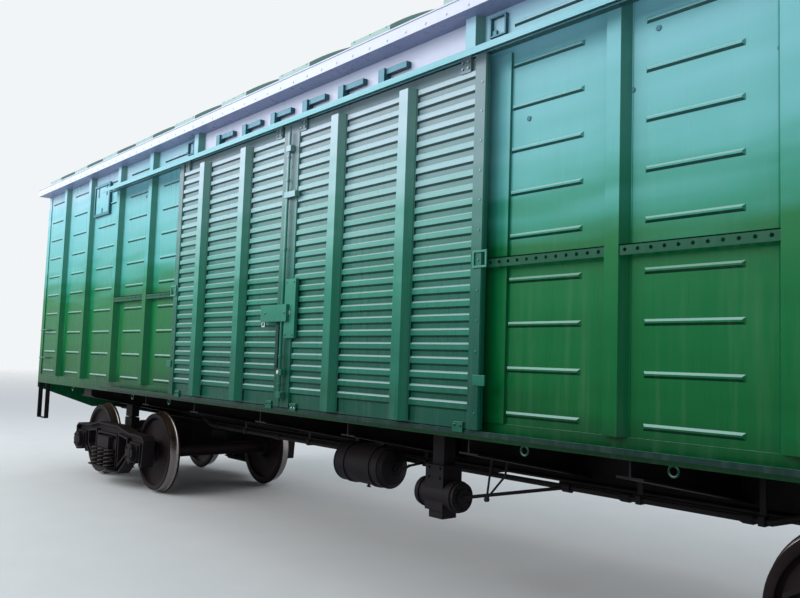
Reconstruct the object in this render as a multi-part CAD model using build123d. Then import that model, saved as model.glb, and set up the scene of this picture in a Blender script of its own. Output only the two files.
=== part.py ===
from build123d import *
import math
import os

# Four-axle covered goods wagon for broad gauge, with two sliding door leaves on each side.
# X runs along the wagon, Y across it and Z up. Zero height is the lowest point of the wheel flanges.
# The doors of the right side are built first. The left side's are the same, turned half round.

# Wheels and axles
TREAD_DIA = 957.0
FLANGE = 28.0
FLANGE_THICK = 33.0
WHEEL_BACK_Y = 720.0
RIM_WIDTH = 130.0
RIM_DEPTH = 62.0
WEB_FRONT = 78.0
WHEEL_WEB_T = 24.0
HUB_RADIUS = 135.0
HUB_OVERHANG = 32.0
HUB_PROUD = 12.0
AXLE_RADIUS = 82.0
JOURNAL_RADIUS = 65.0
JOURNAL_PLAY = 0.3
JOURNAL_HALF = 129.0

# Heights, each placed on the one before it
RAIL = FLANGE
AXLE_Z = RAIL + TREAD_DIA / 2
PIVOT_Z = AXLE_Z + 327.5
CENTRE_LOW = PIVOT_Z + 54.0
COUPLER_Z = CENTRE_LOW + 200.0
FLOOR_TOP = CENTRE_LOW + 426.0
FLOOR_T = 40.0
FRAME_TOP = FLOOR_TOP - FLOOR_T
SILL_TOP = FLOOR_TOP + 60.0
SILL_DEPTH = 120.0
SILL_LOW = SILL_TOP - SILL_DEPTH
DOORWAY_TOP = FLOOR_TOP + 2384.0
EAVE_Z = DOORWAY_TOP + 315.0
EAVE_DEPTH = 100.0
ROOF_LOW = EAVE_Z + EAVE_DEPTH
ROOF_RISE = 525.0
CROWN_Z = ROOF_LOW + ROOF_RISE

# Places along the wagon
END_X = 6935.0
PIVOT_X = 5000.0
WHEELBASE_HALF = 925.0
COUPLER_REACH = 430.0
DOORWAY_X = 1900.0
LEAF_LAP = 290.0
LEAF_TRAVEL = 1950.0
LEAF_EDGE_X = DOORWAY_X + LEAF_LAP
HOOD_X = LEAF_EDGE_X + LEAF_TRAVEL + 60.0
JAMB_X = DOORWAY_X + 82.0
POST_XS = (JAMB_X, 3095.0, 4045.0, 5060.0, 6030.0)

# Places across the wagon, each outside the one before it
LINING_Y = 1385.0
WALL_T = 45.0
SHEET_Y = LINING_Y + WALL_T
SILL_Y = SHEET_Y + 10.0
POST_DEPTH = 65.0
POST_Y = SHEET_Y + POST_DEPTH
LEAF_CLEAR = 17.0
LEAF_BACK = POST_Y + LEAF_CLEAR
LEAF_PLATE = 22.0
LEAF_VALLEY = LEAF_BACK + LEAF_PLATE
LEAF_RIB_OUT = 16.0
LEAF_CREST = LEAF_VALLEY + LEAF_RIB_OUT
STILE_OUT = 24.0
STILE_Y = LEAF_VALLEY + STILE_OUT
LEAF_POST_DEPTH = 66.0
LEAF_POST_Y = LEAF_CREST + LEAF_POST_DEPTH
HOOD_CLEAR = 19.0
HOOD_PLATE = 5.0
HOOD_Y = LEAF_POST_Y + HOOD_CLEAR + HOOD_PLATE
EAVE_OUT = 105.0
EAVE_Y = POST_Y + EAVE_OUT

# Running and seating gaps
RUNNING = 6.0
SEAT = 0.3

# Pressings of the sheets and posts
POST_FACE = 92.0
POST_FLANK = 35.0
POST_PLATE = 6.0
JAMB_STRIP_WIDE = 244.0
JAMB_STRIP = 20.0
BEAD_FIRST = SILL_TOP + 60.0
BEAD_PITCH = 272.3
BEAD_ROWS = 10
BEAD_HIGH = 38.0
BEAD_OUT = 13.0
BEAD_TAPER = 45.0
# Flat left beside a bead: on the side nearer the doorway and on the side nearer the end
BEAD_START = 82.0
BEAD_STOP = 157.0
CORNER_LEG = 110.0
GUARD_LOW = FLOOR_TOP + 1022.0
GUARD_HIGH = GUARD_LOW + 59.0
GUARD_PLATE = 6.0

# Steel sections of the underframe
SILL_PLATE = 10.0
SILL_FLANGE = 60.0
WEB_Y = 155.0
WEB_T = 12.0
CENTRE_FLANGE_Y = 285.0
CENTRE_FLANGE_T = 16.0
COVER_Y = 215.0
COVER_T = 12.0
BEAM_PLATE = 12.0
BEAM_WIDTH = 170.0
BEAM_LOW_IN = CENTRE_LOW + 40.0
BEAM_LOW_OUT = FRAME_TOP - 126.0
BOLSTER_WIDTH = 420.0
BOLSTER_WEB = 260.0
BOLSTER_LOW_IN = CENTRE_LOW + CENTRE_FLANGE_T
BEARING_GAP = 10.0
END_SILL_DROP = 190.0
END_SILL_MID = 620.0
# Distance of each cross beam from the middle of the wagon
CROSS_BEAM_XS = (650.0, 1950.0, 3150.0)

# Couplers and draft gear
STRIKER_OUT = 95.0
STRIKER_Y = 190.0
STRIKER_Z = 158.0
SHANK_HALF = 65.0
SHANK_DEPTH = 75.0
HEAD_DEPTH = 145.0
YOKE_HALF = 120.0
YOKE_LENGTH = 880.0
YOKE_IN = 320.0
CARRIER_LENGTH = 560.0
CARRIER_IN = 300.0

# Door leaves
LEAF_LOW = SILL_LOW + 74.0
LEAF_TOP = DOORWAY_TOP + 2.0
MEETING_X = -60.0
MEETING_GAP = 10.0
LEAF_STILE = 90.0
MEETING_STILE = 130.0
LEAF_RIB_FIRST = LEAF_LOW + 138.0
LEAF_RIB_PITCH = 92.5
LEAF_RIBS = 24
LEAF_RIB_HIGH = 60.0
LEAF_RIB_FLAT = 34.0
HANGER_INSET = 180.0
HANGER_HALF = 45.0
HANGER_T = 8.0
ROLLER_R = 20.0
SHOE_T = 6.0
LEAF_POST_SHORT = 78.0
LOCK_ROD_R = 13.0
# Height of each guide of the lock rod above the leaf's lower edge, and its reach past the rod
LOCK_GUIDES = ((100.0, 45.0), (285.0, 45.0), (1755.0, 140.0), (2150.0, 45.0))
LOCK_BOX = (565.0, 1050.0)
HASP = (700.0, 840.0)

# Door hood above the doorway and track below it
SHELF_LOW = LEAF_TOP + 8.0
SHELF_T = 10.0
SHELF_Y = LEAF_CREST - RUNNING
HOOD_LIP = LEAF_TOP - 22.0
HOOD_EDGE = HOOD_LIP + 45.0
HOOD_TOP = HOOD_EDGE + 80.0
BRACKET_FIRST = -1545.0
BRACKET_PITCH = 512.0
BRACKETS = 6
BRACKET_LEG = 70.0
BRACKET_ARM = 300.0
BRACKET_THICK = 45.0
BRACKET_TOP = HOOD_TOP + 105.0
FIN_Y = LEAF_BACK + 18.0
FIN_T = 8.0
TRACK_LOW = SILL_LOW + 36.0

# Ends and roof
END_WALL_T = 45.0
END_POST_Y = 480.0
END_POST_DEPTH = 60.0
ROOF_T = 30.0
ROOF_FOLD = 35.0
ROOF_FOLD_WIDTH = 470.0
ROOF_FOLD_PITCH = 1030.0
ROOF_FOLDS = 13
# Distance of each hatch from the middle of the wagon
HATCH_XS = (2575.0, 5665.0)
HATCH_R = 240.0
HATCH_UP = 62.0
HATCH_LID_T = 22.0

# Steps, ladders and levers at the ends
STEP_LOW = CENTRE_LOW - 140.0
STEP_LENGTH = 340.0
STEP_DEPTH = 60.0
LADDER_Y = 1230.0
LADDER_WIDTH = 360.0
LADDER_OUT = 90.0
RUNGS = 9
BAR = 20.0
LEVER_R = 11.0

# Brake gear under the body
RESERVOIR_AT = (-40.0, -600.0, CENTRE_LOW - 75.0)
RESERVOIR_R = 175.0
RESERVOIR_HALF = 300.0
STRAP_OFFSET = 180.0
STRAP_WIDTH = 50.0
STRAP_T = 8.0
CYLINDER_AT = (1150.0, 452.0, CENTRE_LOW + 150.0)
CYLINDER_R = 178.0
CYLINDER_HALF = 210.0
COVER_RIM = 12.0
PISTON_REACH = 260.0
DISTRIBUTOR_AT = (1175.0, -850.0)
DISTRIBUTOR_LOW = CENTRE_LOW - 316.0
DISTRIBUTOR_HIGH = CENTRE_LOW + 80.0
DISTRIBUTOR_HALF = 97.0
VALVE_Z = CENTRE_LOW - 142.0
VALVE_R = 108.0
VALVE_REACH = 208.0
BRANCH_R = 13.0
BRANCH_X = 1985.0
PIPE_RADIUS = 21.0
PIPE_MID = (-390.0, CENTRE_LOW - 18.0)
PIPE_END = (-330.0, CENTRE_LOW + 170.0)
PIPE_HANGER_XS = (-2600.0, -1300.0, 480.0, 2580.0, 3400.0)
ROD_RADIUS = 14.0
ROD_DROP = 60.0
ROD_LEVER_T = 40.0

# Bogies
FRAME_Y = 1018.0
FRAME_T = 150.0
FRAME_WEB = 44.0
FRAME_RIM = 24.0
FRAME_LOW = AXLE_Z - 320.5
SPRING_SEAT = AXLE_Z - 256.5
SPRING_TOP = SPRING_SEAT + 230.0
WINDOW_HALF = 310.0
WINDOW_TOP = AXLE_Z + 141.5
TOP_CHORD = AXLE_Z + 281.5
BOLSTER_HALF = 200.0
BOLSTER_TOP = AXLE_Z + 301.5
BOLSTER_END_Z = AXLE_Z + 121.5
BOWL_RADIUS = 153.0
BOWL_RIM = 30.0
BOWL_DEPTH = 24.0
KINGPIN_RADIUS = 27.0
SIDE_BEARING_Y = 762.0
BEARING_RISE = 34.0
JAW_HALF = 135.0
JAW_ROOF = AXLE_Z + 93.5
BOX_HALF = 125.0
BOX_PROUD = 22.0
COVER_R = 108.0
SHOE_GAP = 6.0
SHOE_WIDTH = 80.0
SPRING_RADIUS = 88.0
# Columns: place along the wagon and place across it from the middle of the side frame
SPRING_PLACES = ((-215.0, 95.0), (0.0, 95.0), (215.0, 95.0), (-110.0, -92.0), (110.0, -92.0))


def block(x, y, z):
    """Rectangular block between two values on each axis."""
    size = [high - low for low, high in (x, y, z)]
    centre = [(low + high) / 2 for low, high in (x, y, z)]
    return Pos(*centre) * Box(*size)


def along_x(points, x_low, x_high):
    """Closed outline in Y and Z, drawn along X."""
    face = Plane.YZ * make_face(Polyline(*points, close=True))
    return Pos(x_low, 0, 0) * extrude(face, x_high - x_low)


def along_y(points, y_low, y_high):
    """Closed outline in X and Z, drawn along Y."""
    face = Plane.XZ * make_face(Polyline(*points, close=True))
    return Pos(0, y_high, 0) * extrude(face, y_high - y_low)


def along_z(points, z_low, z_high):
    """Closed outline in X and Y, drawn along Z."""
    face = make_face(Polyline(*points, close=True))
    return Pos(0, 0, z_low) * extrude(face, z_high - z_low)


def round_x(y, z, radius, x_low, x_high):
    """Round bar along X."""
    return Pos((x_low + x_high) / 2, y, z) * Rot(0, 90, 0) * Cylinder(radius, x_high - x_low)


def round_y(x, z, radius, y_low, y_high):
    """Round bar along Y."""
    return Pos(x, (y_low + y_high) / 2, z) * Rot(90, 0, 0) * Cylinder(radius, y_high - y_low)


def round_z(x, y, radius, z_low, z_high):
    """Round bar along Z."""
    return Pos(x, y, (z_low + z_high) / 2) * Cylinder(radius, z_high - z_low)


def bar_along(points, radius):
    """Round bar through the points, mitred where it turns."""
    path = Polyline(*points)
    return sweep(Plane(origin=path @ 0, z_dir=path % 0) * Circle(radius), path, transition=Transition.RIGHT)


def across(shape):
    """The shape and its mirror image on the other side of the wagon."""
    return [shape, mirror(shape, about=Plane.XZ)]


def ends(shape):
    """The shape and its mirror image at the other end of the wagon."""
    return [shape, mirror(shape, about=Plane.YZ)]


def quarters(shape):
    """The shape at all four corners of the wagon."""
    return [copy for side in across(shape) for copy in ends(side)]


def half_turn(shape):
    """The shape and its copy turned half round the middle of the wagon."""
    return [shape, Rot(0, 0, 180) * shape]


def save(name, shapes):
    solids = [solid for shape in shapes for solid in shape.solids()]
    export_step(Compound(solids), f"parts/{name}.step")


# Underframe

def centre_sill():
    """Two webs with flanges below and a cover plate above, and the plates that carry the draft gear."""
    web = WEB_Y + WEB_T
    half = [
        (CENTRE_FLANGE_Y, CENTRE_LOW),
        (CENTRE_FLANGE_Y, CENTRE_LOW + CENTRE_FLANGE_T),
        (web, CENTRE_LOW + CENTRE_FLANGE_T),
        (web, FRAME_TOP - COVER_T),
        (COVER_Y, FRAME_TOP - COVER_T),
        (COVER_Y, FRAME_TOP),
    ]
    inner = [(WEB_Y, FRAME_TOP - 2 * COVER_T), (WEB_Y, CENTRE_LOW)]
    outline = half + [(-y, z) for y, z in reversed(half)]
    outline += [(-y, z) for y, z in reversed(inner)] + inner
    length = END_X - SILL_PLATE
    carrier_x = (length - CARRIER_IN - CARRIER_LENGTH, length - CARRIER_IN)
    carrier_z = (CENTRE_LOW - COVER_T, CENTRE_LOW)
    carrier = block(carrier_x, (-CENTRE_FLANGE_Y, CENTRE_FLANGE_Y), carrier_z)
    return along_x(outline, -length, length) + ends(carrier)


def side_sill():
    """Channel whose top flange carries the sheets of the side wall."""
    inside = SILL_Y - SILL_PLATE
    outline = [
        (SILL_Y, SILL_LOW),
        (SILL_Y, SILL_TOP),
        (LINING_Y, SILL_TOP),
        (LINING_Y, SILL_TOP - SILL_PLATE),
        (inside, SILL_TOP - SILL_PLATE),
        (inside, SILL_LOW + SILL_PLATE),
        (SILL_Y - SILL_FLANGE, SILL_LOW + SILL_PLATE),
        (SILL_Y - SILL_FLANGE, SILL_LOW),
    ]
    length = END_X - SILL_PLATE
    return along_x(outline, -length, length)


def cross_beam(x, width, low_in, low_out, web, plate):
    """Tapered I-section from the centre sill's web out to the side sill."""
    y_in, y_out = WEB_Y + WEB_T, SILL_Y - SILL_PLATE
    y_sill, sill_top = SILL_Y - SILL_FLANGE, SILL_LOW + SILL_PLATE
    outline = [
        (y_in, low_in),
        (y_in, FRAME_TOP - COVER_T),
        (COVER_Y, FRAME_TOP - COVER_T),
        (COVER_Y, FRAME_TOP),
        (y_out, FRAME_TOP),
        (y_out, sill_top),
        (y_sill, sill_top),
        (y_sill, low_out),
    ]
    beam = along_x(outline, x - width / 2, x + width / 2)
    pocket = [
        (y_in, low_in + plate),
        (y_in, FRAME_TOP - COVER_T - plate),
        (y_sill, FRAME_TOP - COVER_T - plate),
        (y_sill, low_out + plate),
    ]
    for side in (-1, 1):
        near, far = sorted((x + side * web / 2, x + side * width / 2))
        beam -= along_x(pocket, near, far)
    return beam


def body_bolster():
    """Bolster arm with the pad that faces the bogie's side bearing."""
    arm = cross_beam(PIVOT_X, BOLSTER_WIDTH, BOLSTER_LOW_IN, BEAM_LOW_OUT, BOLSTER_WEB, BEAM_PLATE)
    slope = (BEAM_LOW_OUT - BOLSTER_LOW_IN) / (SILL_Y - SILL_FLANGE - WEB_Y - WEB_T)
    half = 50
    pad_top = BOLSTER_LOW_IN + slope * (SIDE_BEARING_Y + half - WEB_Y - WEB_T) + BEAM_PLATE / 2
    pad_low = PIVOT_Z + BEARING_RISE + BEARING_GAP
    pad_y = (SIDE_BEARING_Y - half, SIDE_BEARING_Y + half)
    return arm + block((PIVOT_X - 2 * half, PIVOT_X + 2 * half), pad_y, (pad_low, pad_top))


def pipe_hole():
    """Hole along the wagon that the brake pipe is carried in."""
    y, z = PIPE_END
    return round_x(y, z, PIPE_RADIUS + SEAT, -2 * END_X, 2 * END_X)


def centre_plate():
    """Plate under the centre sill with the round boss and the kingpin."""
    half, under = 230, PIVOT_Z + BOWL_DEPTH + 4
    plate = block((PIVOT_X - half, PIVOT_X + half), (-CENTRE_FLANGE_Y, CENTRE_FLANGE_Y), (under, CENTRE_LOW))
    boss = round_z(PIVOT_X, 0, BOWL_RADIUS - 5, PIVOT_Z + SEAT, under + 2)
    pin = round_z(PIVOT_X, 0, KINGPIN_RADIUS, PIVOT_Z - 160, under + 2)
    return plate + boss + pin


def end_sill():
    """End sill plate with its top flange, and the striker frame round the coupler."""
    outline = [
        (-SILL_Y, SILL_TOP),
        (SILL_Y, SILL_TOP),
        (SILL_Y, SILL_TOP - END_SILL_DROP),
        (END_SILL_MID, CENTRE_LOW),
        (-END_SILL_MID, CENTRE_LOW),
        (-SILL_Y, SILL_TOP - END_SILL_DROP),
    ]
    inside = END_X - SILL_PLATE
    plate = along_x(outline, inside, END_X)
    flange = block((inside - END_WALL_T, inside), (-LINING_Y, LINING_Y), (SILL_TOP - SILL_PLATE, SILL_TOP))
    out = END_X + STRIKER_OUT
    striker = block((END_X, out), (-STRIKER_Y, STRIKER_Y), (COUPLER_Z - STRIKER_Z, COUPLER_Z + STRIKER_Z))
    width = SHANK_HALF + 45
    hole_z = (COUPLER_Z - SHANK_DEPTH, COUPLER_Z + SHANK_DEPTH + 20)
    hole = block((inside - 1, out + 1), (-width, width), hole_z)
    return plate + flange + striker - hole


# Outline of the coupler head seen from above: distance ahead of the pulling face, then across.
HEAD = (
    (-300, -65), (-235, -115), (-200, -175), (-60, -195), (15, -205), (40, -150), (0, -95), (-45, -60),
    (-130, -25), (-130, 40), (-60, 75), (55, 60), (110, 105), (105, 200), (-20, 230), (-180, 190),
    (-235, 120), (-300, 65),
)


def coupler():
    """Claw coupler on its shank, with the yoke and draft gear that lie in the centre sill."""
    face = END_X + COUPLER_REACH
    outline = [(face + ahead, side) for ahead, side in HEAD]
    head = along_z(outline, COUPLER_Z - HEAD_DEPTH, COUPLER_Z + HEAD_DEPTH)
    yoke_end = END_X - YOKE_IN
    shank_z = (COUPLER_Z - SHANK_DEPTH, COUPLER_Z + SHANK_DEPTH)
    shank = block((yoke_end, face - 280), (-SHANK_HALF, SHANK_HALF), shank_z)
    yoke_y = (-YOKE_HALF, YOKE_HALF)
    yoke = block((yoke_end - YOKE_LENGTH, yoke_end + 1), yoke_y, (CENTRE_LOW, COUPLER_Z + 110))
    pocket = block((yoke_end - 170, yoke_end - 60), yoke_y, (CENTRE_LOW + 40, COUPLER_Z + 70))
    return head + shank + (yoke - pocket)


# Walls

def bead(length):
    """Pressed bead along X with sloping sides and ends, standing up from a plane just inside the sheet."""
    return extrude(Rectangle(length, BEAD_HIGH), BEAD_OUT + 1, taper=BEAD_TAPER)


def bead_heights():
    return [BEAD_FIRST + row * BEAD_PITCH for row in range(BEAD_ROWS)]


def side_wall():
    """One quarter of the side walls, from the doorway to the end wall."""
    wall = block((DOORWAY_X, END_X - SILL_PLATE - END_WALL_T), (LINING_Y, SHEET_Y), (SILL_TOP, EAVE_Z))
    base = POST_FACE / 2 + POST_FLANK
    strip_end = JAMB_X + base + JAMB_STRIP_WIDE
    starts = [strip_end + 1] + [x + base + BEAD_START for x in POST_XS[1:]]
    stops = [x - base - BEAD_STOP for x in POST_XS[1:]] + [END_X - CORNER_LEG - BEAD_START]
    beads = []
    for low, high in zip(starts, stops):
        upright = Rot(-90, 0, 0) * bead(high - low)
        beads += [Pos((low + high) / 2, SHEET_Y - 1, z) * upright for z in bead_heights()]
    strip = block((JAMB_X + base, strip_end), (SHEET_Y - 1, SHEET_Y + JAMB_STRIP), (SILL_TOP, DOORWAY_TOP))
    return wall + beads + strip


def hat(x, y_base, y_face, face, flank, plate=None):
    """Pressed hat section, open towards the sheet when it has a plate thickness."""
    half, base = face / 2, face / 2 + flank
    outside = [(x - base, y_base), (x - half, y_face), (x + half, y_face), (x + base, y_base)]
    if plate is None:
        return outside
    foot = plate * math.hypot(flank, y_face - y_base) / (y_face - y_base)
    corner = foot - plate * flank / (y_face - y_base)
    inside = [
        (x + base - foot, y_base),
        (x + half - corner, y_face - plate),
        (x - half + corner, y_face - plate),
        (x - base + foot, y_base),
    ]
    return outside + inside


def side_posts():
    """Hat posts and corner angle of one quarter."""
    posts = []
    for x in POST_XS:
        posts.append(along_z(hat(x, SHEET_Y, POST_Y, POST_FACE, POST_FLANK, POST_PLATE), SILL_TOP, EAVE_Z))
    corner = [
        (END_X - CORNER_LEG, SHEET_Y),
        (END_X - CORNER_LEG, SILL_Y),
        (END_X, SILL_Y),
        (END_X, SILL_Y - CORNER_LEG),
        (END_X - SILL_PLATE, SILL_Y - CORNER_LEG),
        (END_X - SILL_PLATE, SHEET_Y),
    ]
    posts.append(along_z(corner, SILL_TOP, EAVE_Z))
    return posts


def guard_rails():
    """Angles between the posts that keep an open leaf off the sheet."""
    outline = [
        (SHEET_Y, GUARD_HIGH),
        (POST_Y, GUARD_HIGH),
        (POST_Y, GUARD_LOW),
        (POST_Y - GUARD_PLATE, GUARD_LOW),
        (POST_Y - GUARD_PLATE, GUARD_HIGH - GUARD_PLATE),
        (SHEET_Y, GUARD_HIGH - GUARD_PLATE),
    ]
    rail = along_x(outline, JAMB_X, POST_XS[2])
    strip_end = JAMB_X + POST_FACE / 2 + POST_FLANK + JAMB_STRIP_WIDE
    rail -= block((DOORWAY_X, strip_end), (SHEET_Y, SHEET_Y + JAMB_STRIP), (GUARD_LOW, GUARD_HIGH))
    for x in POST_XS[:3]:
        rail -= along_z(hat(x, SHEET_Y, POST_Y, POST_FACE, POST_FLANK), GUARD_LOW - 1, GUARD_HIGH + 1)
    return rail.solids()


def door_header():
    """Panel above the doorway with its lintel."""
    panel = block((-DOORWAY_X, DOORWAY_X), (LINING_Y, SHEET_Y), (DOORWAY_TOP, EAVE_Z))
    return panel + block((-DOORWAY_X, DOORWAY_X), (SHEET_Y - 1, POST_Y), (DOORWAY_TOP, DOORWAY_TOP + 40))


def hood_brackets():
    """Bent brackets on the panel above the door hood."""
    arm_low = BRACKET_TOP - BRACKET_THICK
    brackets = []
    for step in range(BRACKETS):
        x = BRACKET_FIRST + step * BRACKET_PITCH
        leg = block((x, x + BRACKET_LEG), (SHEET_Y, POST_Y), (DOORWAY_TOP + 40, BRACKET_TOP))
        brackets.append(leg + block((x, x + BRACKET_ARM), (SHEET_Y, POST_Y - 20), (arm_low, BRACKET_TOP)))
    return brackets


def door_hood():
    """Rain hood over the door track, with the shelf that the leaf rollers run on."""
    inner = POST_Y + HOOD_PLATE
    outline = [
        (POST_Y, SHELF_LOW),
        (POST_Y, HOOD_TOP),
        (HOOD_Y, HOOD_EDGE),
        (HOOD_Y, HOOD_LIP),
        (HOOD_Y - HOOD_PLATE, HOOD_LIP),
        (HOOD_Y - HOOD_PLATE, HOOD_EDGE - HOOD_PLATE),
        (inner, HOOD_TOP - 1.7 * HOOD_PLATE),
        (inner, SHELF_LOW + SHELF_T),
        (SHELF_Y, SHELF_LOW + SHELF_T),
        (SHELF_Y, SHELF_LOW),
    ]
    return along_x(outline, -HOOD_X, HOOD_X)


def lower_track():
    """Angle on the side sill whose standing leg guides the leaves."""
    fin_top = LEAF_LOW - RUNNING
    outline = [
        (SILL_Y, TRACK_LOW),
        (SILL_Y, TRACK_LOW + FIN_T),
        (FIN_Y, TRACK_LOW + FIN_T),
        (FIN_Y, fin_top),
        (FIN_Y + FIN_T, fin_top),
        (FIN_Y + FIN_T, TRACK_LOW),
    ]
    return along_x(outline, -HOOD_X, HOOD_X)


# Door leaves

def leaf_front():
    """Front of the leaf in Y and Z: a row of ridges above the flat back."""
    points = [(LEAF_BACK, LEAF_LOW), (LEAF_VALLEY, LEAF_LOW)]
    high, flat = LEAF_RIB_HIGH / 2, LEAF_RIB_FLAT / 2
    for row in range(LEAF_RIBS):
        z = LEAF_RIB_FIRST + row * LEAF_RIB_PITCH
        points += [(LEAF_VALLEY, z - high), (LEAF_CREST, z - flat)]
        points += [(LEAF_CREST, z + flat), (LEAF_VALLEY, z + high)]
    return points + [(LEAF_VALLEY, LEAF_TOP), (LEAF_BACK, LEAF_TOP)]


def leaf_hanger(x):
    """Plate and roller that hang the leaf on the hood's shelf."""
    wide = (x - HANGER_HALF, x + HANGER_HALF)
    foot = LEAF_TOP - 90
    roller_z = SHELF_LOW + SHELF_T + SEAT + ROLLER_R
    plate_y = (STILE_Y - HANGER_T, STILE_Y)
    pad = block(wide, (LEAF_VALLEY - 1, STILE_Y), (foot, LEAF_TOP))
    plate = block(wide, plate_y, (foot, roller_z + 14))
    return pad + plate + round_y(x, roller_z, ROLLER_R, LEAF_BACK + RUNNING, STILE_Y - 1)


def leaf_shoe(x):
    """Pair of lugs below the leaf, one on each side of the track's standing leg."""
    wide = (x - HANGER_HALF, x + HANGER_HALF)
    outer = FIN_Y + FIN_T + RUNNING
    foot = TRACK_LOW + FIN_T + RUNNING
    cap = block(wide, (LEAF_VALLEY - 1, outer + SHOE_T), (LEAF_LOW, LEAF_LOW + 40))
    for y in (FIN_Y - SHOE_T - RUNNING, outer):
        cap += block(wide, (y, y + SHOE_T), (foot, LEAF_LOW + 1))
    return cap


def door_leaf(x_low, x_high, stile_low, stile_high, post_xs):
    """Ribbed leaf with its edge stiles, two hat stiffeners, hangers and guide shoes."""
    leaf = along_x(leaf_front(), x_low + stile_low - 1, x_high - stile_high + 1)
    for left, right in ((x_low, x_low + stile_low), (x_high - stile_high, x_high)):
        leaf += block((left, right), (LEAF_BACK, STILE_Y), (LEAF_LOW, LEAF_TOP))
    for x in post_xs:
        outline = hat(x, LEAF_CREST, LEAF_POST_Y, POST_FACE, POST_FLANK)
        leaf += along_z(outline, LEAF_LOW + 10, LEAF_TOP - LEAF_POST_SHORT)
    for x in (x_low + HANGER_INSET, x_high - HANGER_INSET):
        leaf += leaf_hanger(x) + leaf_shoe(x)
    return leaf


def door_lock():
    """Lock box, vertical rod with its guides, and the hasp over the meeting line."""
    rod_x, rod_y = MEETING_X + 30, STILE_Y + 30
    lock = round_z(rod_x, rod_y, LOCK_ROD_R, LEAF_LOW + 45, LEAF_TOP - LEAF_POST_SHORT)
    for height, reach in LOCK_GUIDES:
        z = LEAF_LOW + height
        lock += block((rod_x - 25, rod_x + reach), (STILE_Y, rod_y + 18), (z - 25, z + 25))
    box_z, hasp_z = [[LEAF_LOW + height for height in heights] for heights in (LOCK_BOX, HASP)]
    lock += block((rod_x + 30, rod_x + 185), (STILE_Y, rod_y), box_z)
    lock += block((rod_x - 300, rod_x + 100), (STILE_Y + 20, rod_y + 28), hasp_z)
    return lock


# Ends and roof

def roof_circle():
    """Radius and centre height of the roof's outer arc, which ends on the eave rails."""
    chord = EAVE_Y - SILL_PLATE / 2
    radius = (chord**2 + ROOF_RISE**2) / (2 * ROOF_RISE)
    return radius, CROWN_Z - radius


def roof_ring(radius, inner, x_low, x_high):
    """Arched strip above the eave rails."""
    centre = roof_circle()[1]
    ring = Cylinder(radius, x_high - x_low) - Cylinder(inner, x_high - x_low)
    ring = Pos((x_low + x_high) / 2, 0, centre) * Rot(0, 90, 0) * ring
    return ring & block((x_low, x_high), (-EAVE_Y, EAVE_Y), (ROOF_LOW, 2 * CROWN_Z))


def roof():
    """Arched sheet with its raised cross folds."""
    radius = roof_circle()[0]
    sheet = roof_ring(radius, radius - ROOF_T, -END_X, END_X)
    for fold in range(ROOF_FOLDS):
        x = (fold - (ROOF_FOLDS - 1) / 2) * ROOF_FOLD_PITCH
        sheet += roof_ring(radius + ROOF_FOLD, radius - 1, x - ROOF_FOLD_WIDTH / 2, x + ROOF_FOLD_WIDTH / 2)
    return sheet


def roof_hatches():
    """Round loading hatches with their overlapping lids, between the folds."""
    radius, centre = roof_circle()
    arch = round_x(0, centre, radius + SEAT, -END_X, END_X)
    hatches = []
    for x in HATCH_XS:
        top = CROWN_Z + HATCH_UP
        hatch = round_z(x, 0, HATCH_R - 25, CROWN_Z - 40, top - HATCH_LID_T)
        hatch += round_z(x, 0, HATCH_R, top - HATCH_LID_T, top)
        hatches += ends(hatch - arch)
    return hatches


def eave_rail():
    outline = [(LINING_Y, EAVE_Z), (EAVE_Y, EAVE_Z), (EAVE_Y, ROOF_LOW), (LINING_Y, ROOF_LOW)]
    return along_x(outline, -END_X, END_X)


def end_wall():
    """End wall with its arched gable and beads."""
    outer = END_X - SILL_PLATE
    inner = outer - END_WALL_T
    radius, centre = roof_circle()
    wall = block((inner, outer), (-SHEET_Y, SHEET_Y), (SILL_TOP, EAVE_Z))
    gable = round_x(0, centre, radius - ROOF_T, inner, outer)
    wall += gable & block((inner, outer), (-LINING_Y, LINING_Y), (EAVE_Z - 1, CROWN_Z))
    base = POST_FACE / 2 + POST_FLANK + BEAD_START
    edge, post = SHEET_Y - CORNER_LEG, END_POST_Y
    for low, high in ((-edge, -post - base), (base - post, post - base), (post + base, edge)):
        upright = Rot(0, 90, 0) * Rot(0, 0, 90) * bead(high - low)
        wall += [Pos(outer - 1, (low + high) / 2, z) * upright for z in bead_heights()]
    return wall


def end_post():
    """Hat post on the end wall."""
    outer = END_X - SILL_PLATE
    outline = hat(END_POST_Y, outer, outer + END_POST_DEPTH, POST_FACE, POST_FLANK, POST_PLATE)
    return along_z([(x, y) for y, x in outline], SILL_TOP, EAVE_Z)


def corner_step():
    """Stirrup step of flat bar under the side sill."""
    high = SILL_LOW
    x_low, x_high = END_X - 60 - STEP_LENGTH, END_X - 60
    y = (SILL_Y - STEP_DEPTH, SILL_Y)
    step = block((x_low, x_high), y, (STEP_LOW, high))
    return step - block((x_low + BAR / 2, x_high - BAR / 2), y, (STEP_LOW + BAR / 2, high))


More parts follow.
